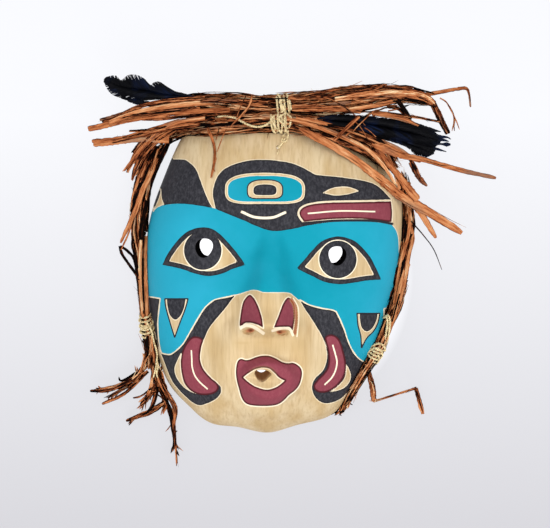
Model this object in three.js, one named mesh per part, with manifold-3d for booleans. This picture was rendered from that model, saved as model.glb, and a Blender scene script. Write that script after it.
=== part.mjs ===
// A carved and painted wooden face mask of a wild forest spirit, in millimetres.
// It lies face up on the flat rim of its hollow back: +Z points out of the face, +Y to the
// crown, +X to the wearer's left. Bundles of shredded cedar bark lie across the crown and hang
// down both sides, with loose ribbons, dark feathers and three twine lashings.
import * as THREE from "three";
import { mergeVertices } from "three/addons/utils/BufferGeometryUtils.js";
import Module from "manifold-3d";

const wasm = await Module();
wasm.setup();

// The wooden mask
const MASK_DEPTH = 88; // back rim to the face, without nose and lips
const DOME_POWER = 2.6; // 2 is an ellipsoid, more is a flatter face with steeper sides
const WALL = 13; // thickness of the wood at the rim
const FACE_THICKNESS = 15; // thickness of the wood in the middle of the face
const RINGS = 21; // rings of the face, from its middle to the rim
const HOLLOW_RINGS = 7;
const SECTORS = 72;

// What is cut by a neighbour keeps this gap to it
const GAP = 0.35;

// All outlines are drawn as seen from straight above the face, from EYE_HEIGHT over the rim.
// Drawn millimetres are true in the plane DRAWING_PLANE above the rim.
const EYE_HEIGHT = 1415;
const DRAWING_PLANE = 40;

// A drawn place and its height, as a real place: low things are really wider than they look.
function seen(u, v, z) {
  const spread = (EYE_HEIGHT - z) / (EYE_HEIGHT - DRAWING_PLANE);
  return new THREE.Vector3(u * spread, v * spread, z);
}

const smoothstep = (from, to, x) => {
  const t = THREE.MathUtils.clamp((x - from) / (to - from), 0, 1);
  return t * t * (3 - 2 * t);
};

// A round hump that is 1 in the middle and ends smoothly at its elliptical edge.
const hump = (u, v, [cu, cv, ru, rv]) => {
  const square = ((u - cu) / ru) ** 2 + ((v - cv) / rv) ** 2;
  return square < 1 ? (1 - square) ** 2 : 0;
};

// A plateau that is flat in the middle and slopes down over the outer part of its ellipse.
const plateau = (u, v, [cu, cv, ru, rv], slope) => {
  const radius = Math.hypot((u - cu) / ru, (v - cv) / rv);
  return 1 - smoothstep(1 - slope, 1, radius);
};

// The mask's outline, clockwise from the left temple by way of the crown, as a smooth loop.
const OUTLINE = [
  [-128, 14], [-125, 45], [-114, 79], [-92, 128], [-68, 144], [-12, 162], [40, 155],
  [91, 121], [124, 74], [127.5, 32], [118, -28], [99, -88], [72, -133], [54, -152],
  [22, -161], [-7, -168.5], [-37, -163], [-64, -159], [-85, -143], [-109, -114], [-124, -61],
];
const MIDDLE = [-6, -40]; // the foremost place of the dome, at the tip of the nose

const outlineCurve = new THREE.CatmullRomCurve3(
  OUTLINE.map(([u, v]) => new THREE.Vector3(u, v, 0)), true, "catmullrom", 0.5,
);
const polarOutline = outlineCurve.getPoints(720).map((p) => {
  const [du, dv] = [p.x - MIDDLE[0], p.y - MIDDLE[1]];
  return { angle: Math.atan2(dv, du), radius: Math.hypot(du, dv) };
}).sort((a, b) => a.angle - b.angle);

// Distance from MIDDLE to the outline in the direction of an angle.
function outlineRadius(angle) {
  const turn = Math.PI * 2;
  const wanted = ((angle + Math.PI) % turn + turn) % turn - Math.PI;
  const after = polarOutline.findIndex((p) => p.angle >= wanted);
  const b = polarOutline[Math.max(after, 0)];
  const a = polarOutline[(Math.max(after, 0) + polarOutline.length - 1) % polarOutline.length];
  const span = (b.angle - a.angle + turn) % turn;
  const t = span > 1e-9 ? ((wanted - a.angle + turn) % turn) / span : 0;
  return a.radius + (b.radius - a.radius) * THREE.MathUtils.clamp(t, 0, 1);
}

// The face leans a little: its centre line runs from here up to the right.
const centreLine = (v) => -4 + 0.036 * v;

// Places of the features, each as centre and half sizes in the drawing.
const EYES = [
  { ball: [-71.9, 13.2, 31, 24], socket: [-70, 12, 62, 42], hole: [-71.8, 15.9], lean: -0.2 },
  { ball: [63.2, 5.2, 31, 24], socket: [62, 5, 62, 42], hole: [63.2, 7.9], lean: 0.2 },
];
const EYE_HOLE_RADIUS = 9.3;
const EYE_LEAN_TO_CHIN = -0.1;
const SOCKET_DEPTH = 6;
const EYEBALL_HEIGHT = 9;
const NOSE_HEIGHT = 24;
const MUZZLE = [-9, -103, 66, 62];
const MUZZLE_HEIGHT = 9;
const LIPS = [-6, -117, 35, 27];
const LIPS_HEIGHT = 12;
const MOUTH = {
  place: [-11, -114], halfWidth: 20, halfHeight: 9.5, depth: 8, turn: -0.03, detail: 2,
};
const MOUTH_HOLE = { place: [-12.5, -112], radius: 6.8, leanY: -0.8 };
const NOSTRILS = [[-27, -66.5], [8.5, -69.5]];
const TIE_HOLES = [[3, 117], [109, -54], [-121, -66]];
const CHIN = [-9, -151, 38, 20];
const CHIN_HEIGHT = 6;

// Nose: a ridge that grows from between the brows to the tip and ends in a sloping underside.
function nose(u, v) {
  const along = smoothstep(48, -45, v) * (1 - smoothstep(-60, -76, v));
  const halfWidth = 10 + 6 * smoothstep(30, 0, v) + 12 * smoothstep(0, -52, v);
  return NOSE_HEIGHT * along * Math.exp(-((Math.abs(u - centreLine(v)) / halfWidth) ** 3));
}

// Height of the carving over the plain dome.
function relief(u, v) {
  let height = nose(u, v);
  for (const eye of EYES) {
    height -= SOCKET_DEPTH * hump(u, v, eye.socket);
    height += EYEBALL_HEIGHT * hump(u, v, eye.ball);
  }
  height += MUZZLE_HEIGHT * plateau(u, v, MUZZLE, 0.45);
  height += LIPS_HEIGHT * plateau(u, v, LIPS, 0.4);
  height += CHIN_HEIGHT * hump(u, v, CHIN);
  return height;
}

// Height of the face over the rim's plane; nothing outside the outline.
function faceHeight(u, v) {
  const [du, dv] = [u - MIDDLE[0], v - MIDDLE[1]];
  const part = Math.hypot(du, dv) / outlineRadius(Math.atan2(dv, du));
  if (part >= 1) return 0;
  const dome = MASK_DEPTH * (1 - part ** DOME_POWER) ** (1 / DOME_POWER);
  return dome + relief(u, v) * (1 - smoothstep(0.86, 1, part));
}

// The height at which the middle of a ball rests on the face, on its side or on the ground.
function ballRest(u, v, radius) {
  let height = radius;
  for (let i = 0; i < 24; i++)
    for (const part of [0, 0.35, 0.65, 0.9]) {
      const [du, dv] = [Math.cos(i * Math.PI / 12), Math.sin(i * Math.PI / 12)];
      const below = faceHeight(u + du * part * radius, v + dv * part * radius);
      height = Math.max(height, below + radius * Math.sqrt(1 - part * part));
    }
  return height;
}

// A closed body from rings of points: pole, rings from the front pole round to the back, pole.
function closedRings(firstPole, rings, lastPole) {
  const count = rings[0].length;
  const positions = [firstPole, ...rings.flat(), lastPole].flatMap((p) => [p.x, p.y, p.z]);
  const at = (ring, k) => 1 + ring * count + (k % count);
  const last = 1 + rings.length * count;
  const index = [];
  for (let k = 0; k < count; k++) {
    index.push(0, at(0, k), at(0, k + 1));
    index.push(last, at(rings.length - 1, k + 1), at(rings.length - 1, k));
    for (let ring = 0; ring + 1 < rings.length; ring++) {
      index.push(at(ring, k), at(ring + 1, k), at(ring + 1, k + 1));
      index.push(at(ring, k), at(ring + 1, k + 1), at(ring, k + 1));
    }
  }
  const geometry = new THREE.BufferGeometry();
  geometry.setAttribute("position", new THREE.Float32BufferAttribute(positions, 3));
  geometry.setIndex(index);
  return geometry;
}

// A three.js geometry as a manifold-3d solid, and back.
function solid(geometry) {
  const bare = geometry.clone();
  bare.deleteAttribute("normal");
  bare.deleteAttribute("uv");
  const merged = mergeVertices(bare, 1e-4);
  return new wasm.Manifold(new wasm.Mesh({
    numProp: 3,
    vertProperties: new Float32Array(merged.attributes.position.array),
    triVerts: new Uint32Array(merged.index.array),
  }));
}
function geometryOf(body) {
  const { vertProperties, triVerts } = body.getMesh();
  const geometry = new THREE.BufferGeometry();
  geometry.setAttribute("position", new THREE.BufferAttribute(vertProperties, 3));
  geometry.setIndex(new THREE.BufferAttribute(triVerts, 1));
  return geometry;
}

// What a cut leaves may fall apart; only its largest part is the piece.
const largest = (body) => body.decompose().sort((a, b) => b.volume() - a.volume())[0];

// One ring of the face or of the hollow, part of the way from MIDDLE to the outline.
const ringAt = (part, inset, heightAt) =>
  Array.from({ length: SECTORS }, (_, k) => {
    const angle = k / SECTORS * Math.PI * 2;
    const radius = (outlineRadius(angle) - inset) * part;
    const [u, v] = [MIDDLE[0] + radius * Math.cos(angle), MIDDLE[1] + radius * Math.sin(angle)];
    return seen(u, v, heightAt(u, v, part));
  });
const ringParts = (count) =>
  Array.from({ length: count }, (_, i) =>
    Math.sin((i + 1) / count * Math.PI / 2) ** (2 / DOME_POWER));

// The wooden block with its hollow back.
function maskBlock() {
  const hollowHeight = (u, v, part) => {
    const dome = (1 - Math.min(part, 1) ** DOME_POWER) ** (1 / DOME_POWER);
    return dome * (MASK_DEPTH - FACE_THICKNESS + 0.35 * relief(u, v));
  };
  const faceRings = ringParts(RINGS).map((part) =>
    ringAt(part, 0, (u, v) => part < 1 - 1e-9 ? faceHeight(u, v) : 0));
  const hollowRings = ringParts(HOLLOW_RINGS).reverse().map((part) =>
    ringAt(part, WALL, (u, v) => hollowHeight(u, v, part)));
  hollowRings[0] = ringAt(1, WALL, () => 0);
  const [u, v] = MIDDLE;
  return solid(closedRings(
    seen(u, v, faceHeight(u, v)), [...faceRings, ...hollowRings], seen(u, v, hollowHeight(u, v, 0)),
  ));
}

// The space that the mask keeps for itself: its outside, grown by the gap, with no hollow.
function maskSpace() {
  const outside = ringParts(RINGS).map((part) =>
    ringAt(part, -GAP, (u, v) => {
      const inside = 1 - GAP / 130;
      const [du, dv] = [(u - MIDDLE[0]) * inside, (v - MIDDLE[1]) * inside];
      return part < 1 - 1e-9 ? faceHeight(MIDDLE[0] + du, MIDDLE[1] + dv) + GAP : 0;
    }));
  const [u, v] = MIDDLE;
  const foot = outside[outside.length - 1].map((p) => new THREE.Vector3(p.x, p.y, -5));
  return solid(closedRings(
    seen(u, v, faceHeight(u, v) + GAP), [...outside, foot], new THREE.Vector3(u, v, -5),
  ));
}

// A round drill along a line from a place on the face, leaning sideways and to the crown.
function drill(u, v, radius, { leanX = 0, leanY = 0, above = 12, below = 60, sides = 20 } = {}) {
  const direction = new THREE.Vector3(leanX, leanY, 1).normalize();
  const bit = new THREE.CylinderGeometry(radius, radius, above + below, sides);
  const start = seen(u, v, faceHeight(u, v));
  bit.translate(0, (above - below) / 2, 0);
  bit.applyQuaternion(
    new THREE.Quaternion().setFromUnitVectors(new THREE.Vector3(0, 1, 0), direction));
  bit.translate(start.x, start.y, start.z);
  return solid(bit);
}

// A shallow oval pit in the face.
function pit([u, v], { halfWidth, halfHeight, depth, turn = 0, detail = 1 }) {
  const ball = new THREE.IcosahedronGeometry(1, detail);
  ball.scale(halfWidth, halfHeight, depth);
  ball.rotateZ(turn);
  const start = seen(u, v, faceHeight(u, v));
  ball.translate(start.x, start.y, start.z);
  return solid(ball);
}

function wildManMask() {
  let body = maskBlock();
  for (const { hole, lean } of EYES)
    body = body.subtract(drill(...hole, EYE_HOLE_RADIUS, { leanX: lean, leanY: EYE_LEAN_TO_CHIN }));
  body = body.subtract(pit(MOUTH.place, MOUTH));
  const { place, radius, leanY } = MOUTH_HOLE;
  body = body.subtract(drill(...place, radius, { leanY, above: 4, sides: 14 }));
  for (const nostril of NOSTRILS)
    body = body.subtract(pit(nostril, { halfWidth: 6.5, halfHeight: 3, depth: 5 }));
  for (const [u, v] of TIE_HOLES)
    body = body.subtract(drill(u, v, 1.5, { above: 15, below: 45, sides: 8 }));
  return largest(body);
}

// Cross-sections of a strand, as corners on a unit circle or square, counterclockwise.
const roundSection = (sides) => Array.from({ length: sides }, (_, k) => {
  const angle = k / sides * Math.PI * 2;
  return [Math.cos(angle), Math.sin(angle)];
});
const FLAT = [[1, -1], [1, 1], [-1, 1], [-1, -1]];
const BUNDLE = roundSection(10);
const HANK = roundSection(8);

// A closed strand: a section carried along a smooth path of [u, v, z, halfWidth, halfThickness].
function strand(path, section, { steps, from = 0, to = 1, grow = 0 }) {
  const curve = new THREE.CatmullRomCurve3(path.map(([u, v, z]) => new THREE.Vector3(u, v, z)));
  const up = new THREE.Vector3(0, 0, 1);
  const sizeAt = (t, which) => {
    const place = THREE.MathUtils.clamp(t, 0, 1) * (path.length - 1);
    const before = Math.min(Math.floor(place), path.length - 2);
    const share = place - before;
    return path[before][which] * (1 - share) + path[before + 1][which] * share + grow;
  };
  const rings = [];
  const middles = [];
  for (let i = 0; i <= steps; i++) {
    const t = from + (to - from) * i / steps;
    const middle = curve.getPoint(t);
    const tangent = curve.getTangent(t).normalize();
    if (grow && i === 0 && from === 0) middle.addScaledVector(tangent, -grow);
    if (grow && i === steps && to === 1) middle.addScaledVector(tangent, grow);
    const side = new THREE.Vector3().crossVectors(up, tangent).normalize();
    const rise = new THREE.Vector3().crossVectors(tangent, side);
    middles.push(seen(middle.x, middle.y, middle.z));
    rings.push(section.map(([a, b]) => {
      const p = middle.clone();
      p.addScaledVector(side, a * sizeAt(t, 3)).addScaledVector(rise, b * sizeAt(t, 4));
      return seen(p.x, p.y, p.z);
    }).reverse());
  }
  return solid(closedRings(middles[0], rings, middles[steps]));
}

// A path of balls that rest on the face: [u, v, radius, lift above rest].
const resting = (places) => places.map(([u, v, radius, lift = 0]) =>
  [u, v, ballRest(u, v, radius) + lift, radius, radius * 0.9]);

// The two bundles on the crown and the two hanks at the sides.
const BARK = {
  bark_brow: { section: BUNDLE, steps: 20, path: resting([
    [-117, 126, 8.5, 2], [-97, 134.5, 8.5, 1], [-62, 138.5, 9], [-22, 141, 8.5], [10, 141, 8],
    [45, 137, 9], [75, 127, 10], [103, 112, 10], [119, 96, 8],
  ]) },
  bark_crossbar: { section: BUNDLE, steps: 20, path: [
    [-124, 152, 50, 5, 4], [-85, 160, 51, 8, 7], [-45, 160, 52, 10, 9], [-5, 157, 53, 10.5, 10],
    [45, 160, 53, 12, 10], [90, 165, 51, 12, 9], [130, 169, 48, 8, 6], [160, 161, 45, 4, 2.5],
  ] },
  bark_hank_left: { section: HANK, steps: 20, path: resting([
    [-110, 121, 8, 2], [-125, 106, 9.5, 2], [-131, 89, 10, 2], [-133, 74, 9.5, 2],
    [-135, 54, 9, 3], [-137, 29, 9, 4], [-135, 6, 7, 4], [-132.5, -21, 5.5, 4],
    [-130.2, -46, 5.5, 4], [-128, -66, 6, 4], [-125, -84, 6.5, 4], [-124, -102, 6, 5],
  ]) },
  bark_hank_right: { section: HANK, steps: 20, path: resting([
    [127, 92, 5.5, 2], [131, 70, 5, 3], [133, 50, 5.5, 3], [133, 34, 6, 3], [129.5, 8, 5.5, 3],
    [126, -16, 6, 3], [122, -36, 6, 3], [113, -60, 5.5, 3], [104, -84, 5.5, 4],
    [91, -105, 4.5, 4], [78, -128, 4, 4], [67, -148, 2, 6],
  ]) },
};

// Loose ribbons of bark that leave the bundles: [u, v, z, half width, half thickness].
const RIBBONS = {
  ribbon_forked: [
    [28, 133, 78, 4, 1], [70, 111, 64, 4.5, 1], [104, 86, 48, 4.5, 1], [126, 68, 41, 4.5, 1],
    [150, 54, 37, 5, 1], [187, 31, 32, 4, 1],
  ],
  ribbon_fork_tip: [[139, 69, 41, 3.5, 0.9], [150, 46, 35, 3, 0.9], [162, 25, 30, 1.5, 0.9]],
  ribbon_beside: [
    [104, 113, 52, 3, 1], [118, 94, 46, 3.5, 1], [133, 75, 42, 4, 1], [142, 66, 40, 4, 1],
  ],
  ribbon_far_right: [
    [98, 119, 57, 4, 1], [125, 109, 52, 3.8, 1], [150, 104, 48, 2.6, 1], [185, 94, 44, 2.4, 1],
    [221, 86, 40, 2.2, 1],
  ],
  ribbon_short_right: [[136, 102, 46, 2.4, 1], [143, 88, 41, 2, 1], [152, 78, 38, 1, 0.8]],
  ribbon_hooked: [
    [142, 168, 54, 2, 1], [160, 171, 52, 2, 1], [182, 175, 50, 2, 1], [191, 175.5, 49, 1.6, 0.9],
    [194, 170, 47, 1.1, 0.8], [195.5, 157, 43, 1, 0.8],
  ],
  ribbon_folded: [[160, 157, 45, 3.2, 1], [166, 145, 41, 3.2, 1], [173, 130, 36, 2.6, 1]],
  ribbon_hanging: [[112, 158, 44, 2, 1], [124, 155, 42, 2, 1], [135, 144, 38, 1.6, 1]],
  ribbon_thin_right: [[100, 152, 46, 1.6, 0.8], [135, 148, 43, 1.3, 0.8], [165, 142, 40, 1.2, 0.8]],
  ribbon_left_top: [
    [-112, 150, 56, 4, 1], [-140, 147, 54, 4, 1], [-165, 140, 51, 3.2, 1], [-187, 135, 49, 2.8, 1],
  ],
  ribbon_left_upper: [[-118, 155, 46, 3, 1], [-148, 150, 46, 3, 1], [-175, 143, 45, 2.4, 1]],
  ribbon_left_low: [
    [-106, 125, 47, 4.5, 1], [-135, 126, 44, 4, 1], [-160, 123, 42, 4, 1], [-183, 121, 40, 3.8, 1],
  ],
  ribbon_cheek_upper: [
    [-129, -103, 18, 1.8, 0.9], [-145, -116, 20, 1.8, 0.9], [-165, -126, 22, 1.8, 0.9],
    [-185, -127, 22, 1.4, 0.9],
  ],
  ribbon_cheek_lower: [
    [-127, -107, 13, 1.8, 0.9], [-150, -129, 13, 1.8, 0.9], [-173, -140, 13, 1.4, 0.9],
  ],
  ribbon_chin_left: [[-108, -137, 12, 2.2, 1], [-127, -148, 10, 2.4, 1], [-149, -157, 8, 1.6, 1]],
  ribbon_chin_trail: [
    [-120, -106, 22, 1.6, 0.9], [-110, -126, 24, 2.4, 0.9], [-100, -144, 20, 2.4, 0.9],
    [-101, -160, 15, 1.8, 0.9], [-99.5, -181, 10, 1.2, 0.8], [-98, -202, 6, 0.8, 0.8],
  ],
  ribbon_zigzag: [
    [92, -103, 20, 1.6, 0.8], [96, -122, 18, 1.6, 0.8], [101, -136, 19, 1.6, 0.8],
    [113, -133, 20, 2, 0.8], [136, -124, 22, 2.2, 0.8], [141, -130, 21, 1.8, 0.8],
    [146, -149, 18, 1.6, 0.8],
  ],
  ribbon_over_crown: [[59, 124, 74, 2, 0.9], [70, 134, 77, 2, 0.9], [84, 148, 76, 2, 0.9]],
};

// Flat dark feathers, wide in the middle, their quills in the bark.
const FEATHERS = {
  feather_left: [
    [-92, 171, 54, 3, 1], [-118, 172, 53, 9, 1], [-142, 176, 51, 12, 1], [-160, 180, 50, 10, 1],
    [-171, 185, 49, 3, 0.8],
  ],
  feather_left_under: [[-112, 158, 57, 2.5, 0.8], [-135, 162, 55, 4, 0.8], [-156, 169, 52, 2, 0.8]],
  feather_right: [
    [35, 144, 63, 3, 1], [80, 141, 58, 8, 1], [120, 135, 54, 11, 1], [155, 129, 50, 9, 1],
    [175, 124, 48, 3, 0.8],
  ],
  feather_right_under: [
    [100, 128, 53, 3, 0.8], [130, 119, 48, 6, 0.9], [148, 112, 44, 7, 0.9],
    [160, 116, 42, 3, 0.8],
  ],
};

// Twine lashings: sleeves round a stretch of the bark, from and to along its path.
const TWINE_THICKNESS = 2.6;
const TIES = {
  twine_crown: {
    turns: [["bark_crossbar", 0.446, 0.486], ["bark_brow", 0.445, 0.52]],
    crossing: [[7, 138, 70, 6, 3], [8, 147, 66, 5, 3], [8, 156, 60, 6, 3]],
  },
  twine_left: { turns: [["bark_hank_left", 0.745, 0.85]] },
  twine_right: { turns: [["bark_hank_right", 0.709, 0.787]] },
};

const wood = { color: 0xd9bb8a, roughness: 0.6, metalness: 0 };
const bark = { color: 0x9c5a2c, roughness: 0.85, metalness: 0 };
const vane = { color: 0x10131c, roughness: 0.45, metalness: 0 };
const cord = { color: 0xd8c48c, roughness: 0.9, metalness: 0 };

const group = new THREE.Group();
function add(name, body, look) {
  const mesh = new THREE.Mesh(geometryOf(body), new THREE.MeshStandardMaterial(look));
  mesh.name = name;
  group.add(mesh);
}

// Each later piece is cut by the spaces of those that were there before it.
const spaces = [maskSpace()];
const trimmed = (body) => largest(spaces.reduce((rest, space) => rest.subtract(space), body));

add("mask", wildManMask(), wood);
for (const [name, { path, section, steps }] of Object.entries(BARK)) {
  add(name, trimmed(strand(path, section, { steps })), bark);
  spaces.push(strand(path, section, { steps, grow: GAP }));
}
const lashing = ({ turns, crossing }, grow) => {
  const parts = turns.map(([round, from, to]) => {
    const { path, section } = BARK[round];
    const longer = grow / 100;
    return strand(path, section, {
      steps: 3, from: from - longer, to: to + longer, grow: TWINE_THICKNESS + grow,
    });
  });
  if (crossing) parts.push(strand(crossing, HANK, { steps: 4, grow }));
  return parts.reduce((all, part) => all.add(part));
};
for (const [name, tie] of Object.entries(TIES)) {
  add(name, trimmed(lashing(tie, 0)), cord);
  spaces.push(lashing(tie, GAP));
}
for (const [name, path] of Object.entries(FEATHERS)) {
  add(name, trimmed(strand(path, HANK, { steps: 8 })), vane);
  spaces.push(strand(path, HANK, { steps: 8, grow: GAP }));
}
for (const [name, path] of Object.entries(RIBBONS)) {
  add(name, trimmed(strand(path, FLAT, { steps: 2 * (path.length - 1) })), bark);
  spaces.push(strand(path, FLAT, { steps: 2 * (path.length - 1), grow: GAP }));
}

// The origin is under the middle of the whole object, on the plane it lies on.
const box = new THREE.Box3().setFromObject(group);
group.position.set(-(box.min.x + box.max.x) / 2, -(box.min.y + box.max.y) / 2, -box.min.z);

export default group;
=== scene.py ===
# %% [markdown]
# # A wild man mask
# The real object is a hollow wooden mask, carved and painted. Shredded cedar bark is tied over
# its crown and hangs down both its sides, and two dark feathers lie in the bark. It lies on its
# back and is looked at from straight above.
#
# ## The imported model
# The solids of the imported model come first. Each of them is a plain stand-in with the right place
# and size. Every surface below is laid over the solid that it stands for, in the same frame.

import bpy
import numpy as np
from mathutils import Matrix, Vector


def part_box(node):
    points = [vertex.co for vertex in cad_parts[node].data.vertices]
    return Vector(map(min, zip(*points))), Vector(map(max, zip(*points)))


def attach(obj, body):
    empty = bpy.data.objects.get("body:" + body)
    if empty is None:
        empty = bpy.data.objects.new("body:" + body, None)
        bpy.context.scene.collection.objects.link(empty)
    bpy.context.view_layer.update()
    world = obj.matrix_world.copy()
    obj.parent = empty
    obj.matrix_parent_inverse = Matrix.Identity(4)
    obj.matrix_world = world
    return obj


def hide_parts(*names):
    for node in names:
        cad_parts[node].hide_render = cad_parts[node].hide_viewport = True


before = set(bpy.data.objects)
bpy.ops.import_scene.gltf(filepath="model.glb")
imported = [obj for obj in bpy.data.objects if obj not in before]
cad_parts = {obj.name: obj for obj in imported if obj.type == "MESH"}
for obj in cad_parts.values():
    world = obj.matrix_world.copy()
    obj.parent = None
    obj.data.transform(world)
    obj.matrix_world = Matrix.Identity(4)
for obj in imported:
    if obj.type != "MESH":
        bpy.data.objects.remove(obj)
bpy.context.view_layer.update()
print("solids in the packed model:", len(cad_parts))

# %% [markdown]
# ## A drawing that is looked at from above
# A carver draws a mask as it looks from the front. The drawing here is a sheet of 550 by 528
# millimetres with its corner at the upper left. That is the reference photograph's own frame, one
# pixel to the millimetre, and the drawn places were read off the photograph, except in the
# bird's head on the forehead, which is drawn anew. What lies near the table is really a little
# wider than it looks, and what lies near the eye is narrower, so a drawn place is spread by its
# height. This way one set of drawn numbers fits both the view from above and the real sizes.

# %% From the sheet to real places
MM = 0.001
EYE_HEIGHT = 1415.0
DRAWING_PLANE = 40.0
SHEET_MIDDLE = np.array([275.0, 264.0])


def sheet(points):
    """A sheet place (x to the right, y down) as a place from the sheet's middle, with y up."""
    flat = np.asarray(points, float)
    return np.column_stack([flat[:, 0] - SHEET_MIDDLE[0], SHEET_MIDDLE[1] - flat[:, 1]])


def spread(z):
    """How much wider than drawn a thing at height z is: it is 1 on the drawing plane."""
    return (EYE_HEIGHT - z) / (EYE_HEIGHT - DRAWING_PLANE)


def smooth_loop(points, per_span=12):
    """A closed curve through the points. Each span is a cubic whose slope at a point is half the
    step between that point's two neighbours."""
    p = np.asarray(points, float)
    before, after, beyond = np.roll(p, 1, 0), np.roll(p, -1, 0), np.roll(p, -2, 0)
    t = (np.arange(per_span) / per_span)[:, None, None]
    curve = 0.5 * (2 * p + (after - before) * t + (2 * before - 5 * p + 4 * after - beyond) * t**2
                   + (3 * p - before - 3 * after + beyond) * t**3)
    return curve.transpose(1, 0, 2).reshape(-1, p.shape[1])


def smooth_run(points, at):
    """An open curve through the points, at each share of its length in points from 0 to 1. It is
    the same cubic, and the neighbours missing at the ends are mirrored."""
    p = np.asarray(points, float)
    p = np.vstack([2 * p[0] - p[1], p, 2 * p[-1] - p[-2]])
    place = np.clip(at, 0, 1) * (len(p) - 3)
    span = np.minimum(place.astype(int), len(p) - 4)
    t = (place - span)[..., None]
    a, b, c, d = p[span], p[span + 1], p[span + 2], p[span + 3]
    return 0.5 * (2 * b + (c - a) * t + (2 * a - 5 * b + 4 * c - d) * t**2
                  + (3 * b - a - 3 * c + d) * t**3)


def ramp(low, high, x):
    """0 below low, 1 above high, and a soft slope t squared times (3 - 2t) in between."""
    t = np.clip((x - low) / (high - low), 0, 1)
    return t * t * (3 - 2 * t)


OUTLINE = smooth_loop([
    (-128, 14), (-125, 45), (-114, 79), (-92, 128), (-68, 144), (-12, 162), (40, 155),
    (91, 121), (124, 74), (127.5, 32), (118, -28), (99, -88), (72, -133), (54, -152),
    (22, -161), (-7, -168.5), (-37, -163), (-64, -159), (-85, -143), (-109, -114), (-124, -61),
], 34)
rim = OUTLINE * spread(0.0)
mask_low, mask_high = (np.array(corner)[:2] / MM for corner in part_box("mask"))
SHIFT = (mask_low + mask_high) / 2 - (rim.min(0) + rim.max(0)) / 2
print("the drawing's middle stands at", SHIFT.round(2), "mm")


def real(u, v, z):
    """Drawn places and their heights, as real places in metres."""
    wide = spread(z)
    return np.stack([u * wide + SHIFT[0], v * wide + SHIFT[1], z + 0 * u], -1) * MM


def drawn(places):
    """Real places in metres, as drawn u, v and height in millimetres."""
    x, y, z = (places / MM).T
    return (x - SHIFT[0]) / spread(z), (y - SHIFT[1]) / spread(z), z

# %% [markdown]
# ## From arrays to meshes
# Every surface below is worked out as whole arrays of places. Two helpers put them into Blender:
# one fills a mesh from places and faces, and one stores a number for each of its vertices, which
# a material can read later as the paint's edge or as the colour of one strip of bark.

# %% Helpers that fill a mesh
def shaped(name, places, faces):
    """A mesh object from places in metres and a list of face arrays, one row a face."""
    corners = np.concatenate([f.ravel() for f in faces])
    sizes = np.concatenate([np.full(len(f), f.shape[1]) for f in faces])
    mesh = bpy.data.meshes.new(name)
    mesh.vertices.add(len(places))
    mesh.loops.add(len(corners))
    mesh.polygons.add(len(sizes))
    mesh.vertices.foreach_set("co", places.astype(np.float32).ravel())
    mesh.loops.foreach_set("vertex_index", corners.astype(np.int32))
    mesh.polygons.foreach_set("loop_start", (np.cumsum(sizes) - sizes).astype(np.int32))
    mesh.polygons.foreach_set("use_smooth", np.ones(len(sizes), bool))
    mesh.update(calc_edges=True)
    if mesh.validate():
        print(name, "had faces that Blender mended")
    made = bpy.data.objects.new(name, mesh)
    bpy.context.scene.collection.objects.link(made)
    return made


def places_of(made):
    """The places of a mesh's vertices, in metres."""
    flat = np.empty(len(made.data.vertices) * 3, np.float32)
    made.data.vertices.foreach_get("co", flat)
    return flat.reshape(-1, 3).astype(float)


def store(made, name, values):
    """One number, or one direction of three numbers, for each vertex, under a name."""
    kind, field = ("FLOAT", "value") if values.ndim == 1 else ("FLOAT_VECTOR", "vector")
    layer = made.data.attributes.new(name, kind, "POINT")
    layer.data.foreach_set(field, values.astype(np.float32).ravel())


def triangles(made):
    """How many triangles the mesh has."""
    return len(made.data.loops) - 2 * len(made.data.polygons)


def tube_faces(tubes, rings, corners):
    """Faces of closed tubes, each of rings of corners: quads along it and a cap at each end."""
    index = np.arange(tubes * rings * corners).reshape(tubes, rings, corners)
    turned = np.roll(index, -1, 2)
    sides = np.stack([index[:, :-1], turned[:, :-1], turned[:, 1:], index[:, 1:]], -1)
    caps = np.concatenate([index[:, 0, ::-1], index[:, -1]])
    return [sides.reshape(-1, 4), caps]

# %% [markdown]
# ## The painter's drawing
# The painting follows the old formline manner of the coast: broad black forms that swell and
# taper, ovoids with a small eye, U forms and split U forms, with maroon and turquoise between.
# Every form is a closed outline of smooth runs that meet at sharp corners, which is how a painter
# cuts such templates. The forehead has a bird's head of the plainest kind in that manner: an ovoid
# eye inside an ovoid socket, with a nostril, a crescent under the eye and a straight beak.

# %% Helpers that draw outlines
def cornered(*runs):
    """A closed outline on the sheet: smooth runs, each through its points, that meet at corners."""
    return np.concatenate([
        smooth_run(sheet(run), np.linspace(0, 1, 7 * len(run)))[:-1] for run in runs
    ])


def disc(x, y, wide, high):
    """An ellipse on the sheet: its middle plus the half sizes times cosine and sine of a turn."""
    turn = np.linspace(0, 2 * np.pi, 72, endpoint=False)
    return sheet(np.column_stack([x + wide * np.cos(turn), y + high * np.sin(turn)]))


OVOID_POWER, OVOID_ARCH = 0.62, 0.14


def ovoid(x, y, wide, high):
    """A formline ovoid on the sheet: its half sizes times the cosine and the sine of a turn. Each
    wave is drawn to a power below 1, which makes a box with round corners. The middle is lifted,
    so that the upper side arches and the lower side is a little hollow."""
    turn = np.linspace(0, 2 * np.pi, 72, endpoint=False)
    across, up = (np.sign(w) * np.abs(w) ** OVOID_POWER for w in (np.cos(turn), np.sin(turn)))
    arched = up + OVOID_ARCH * (1 - across**2)
    return sheet(np.column_stack([x + wide * across, y - high * arched]))


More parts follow.
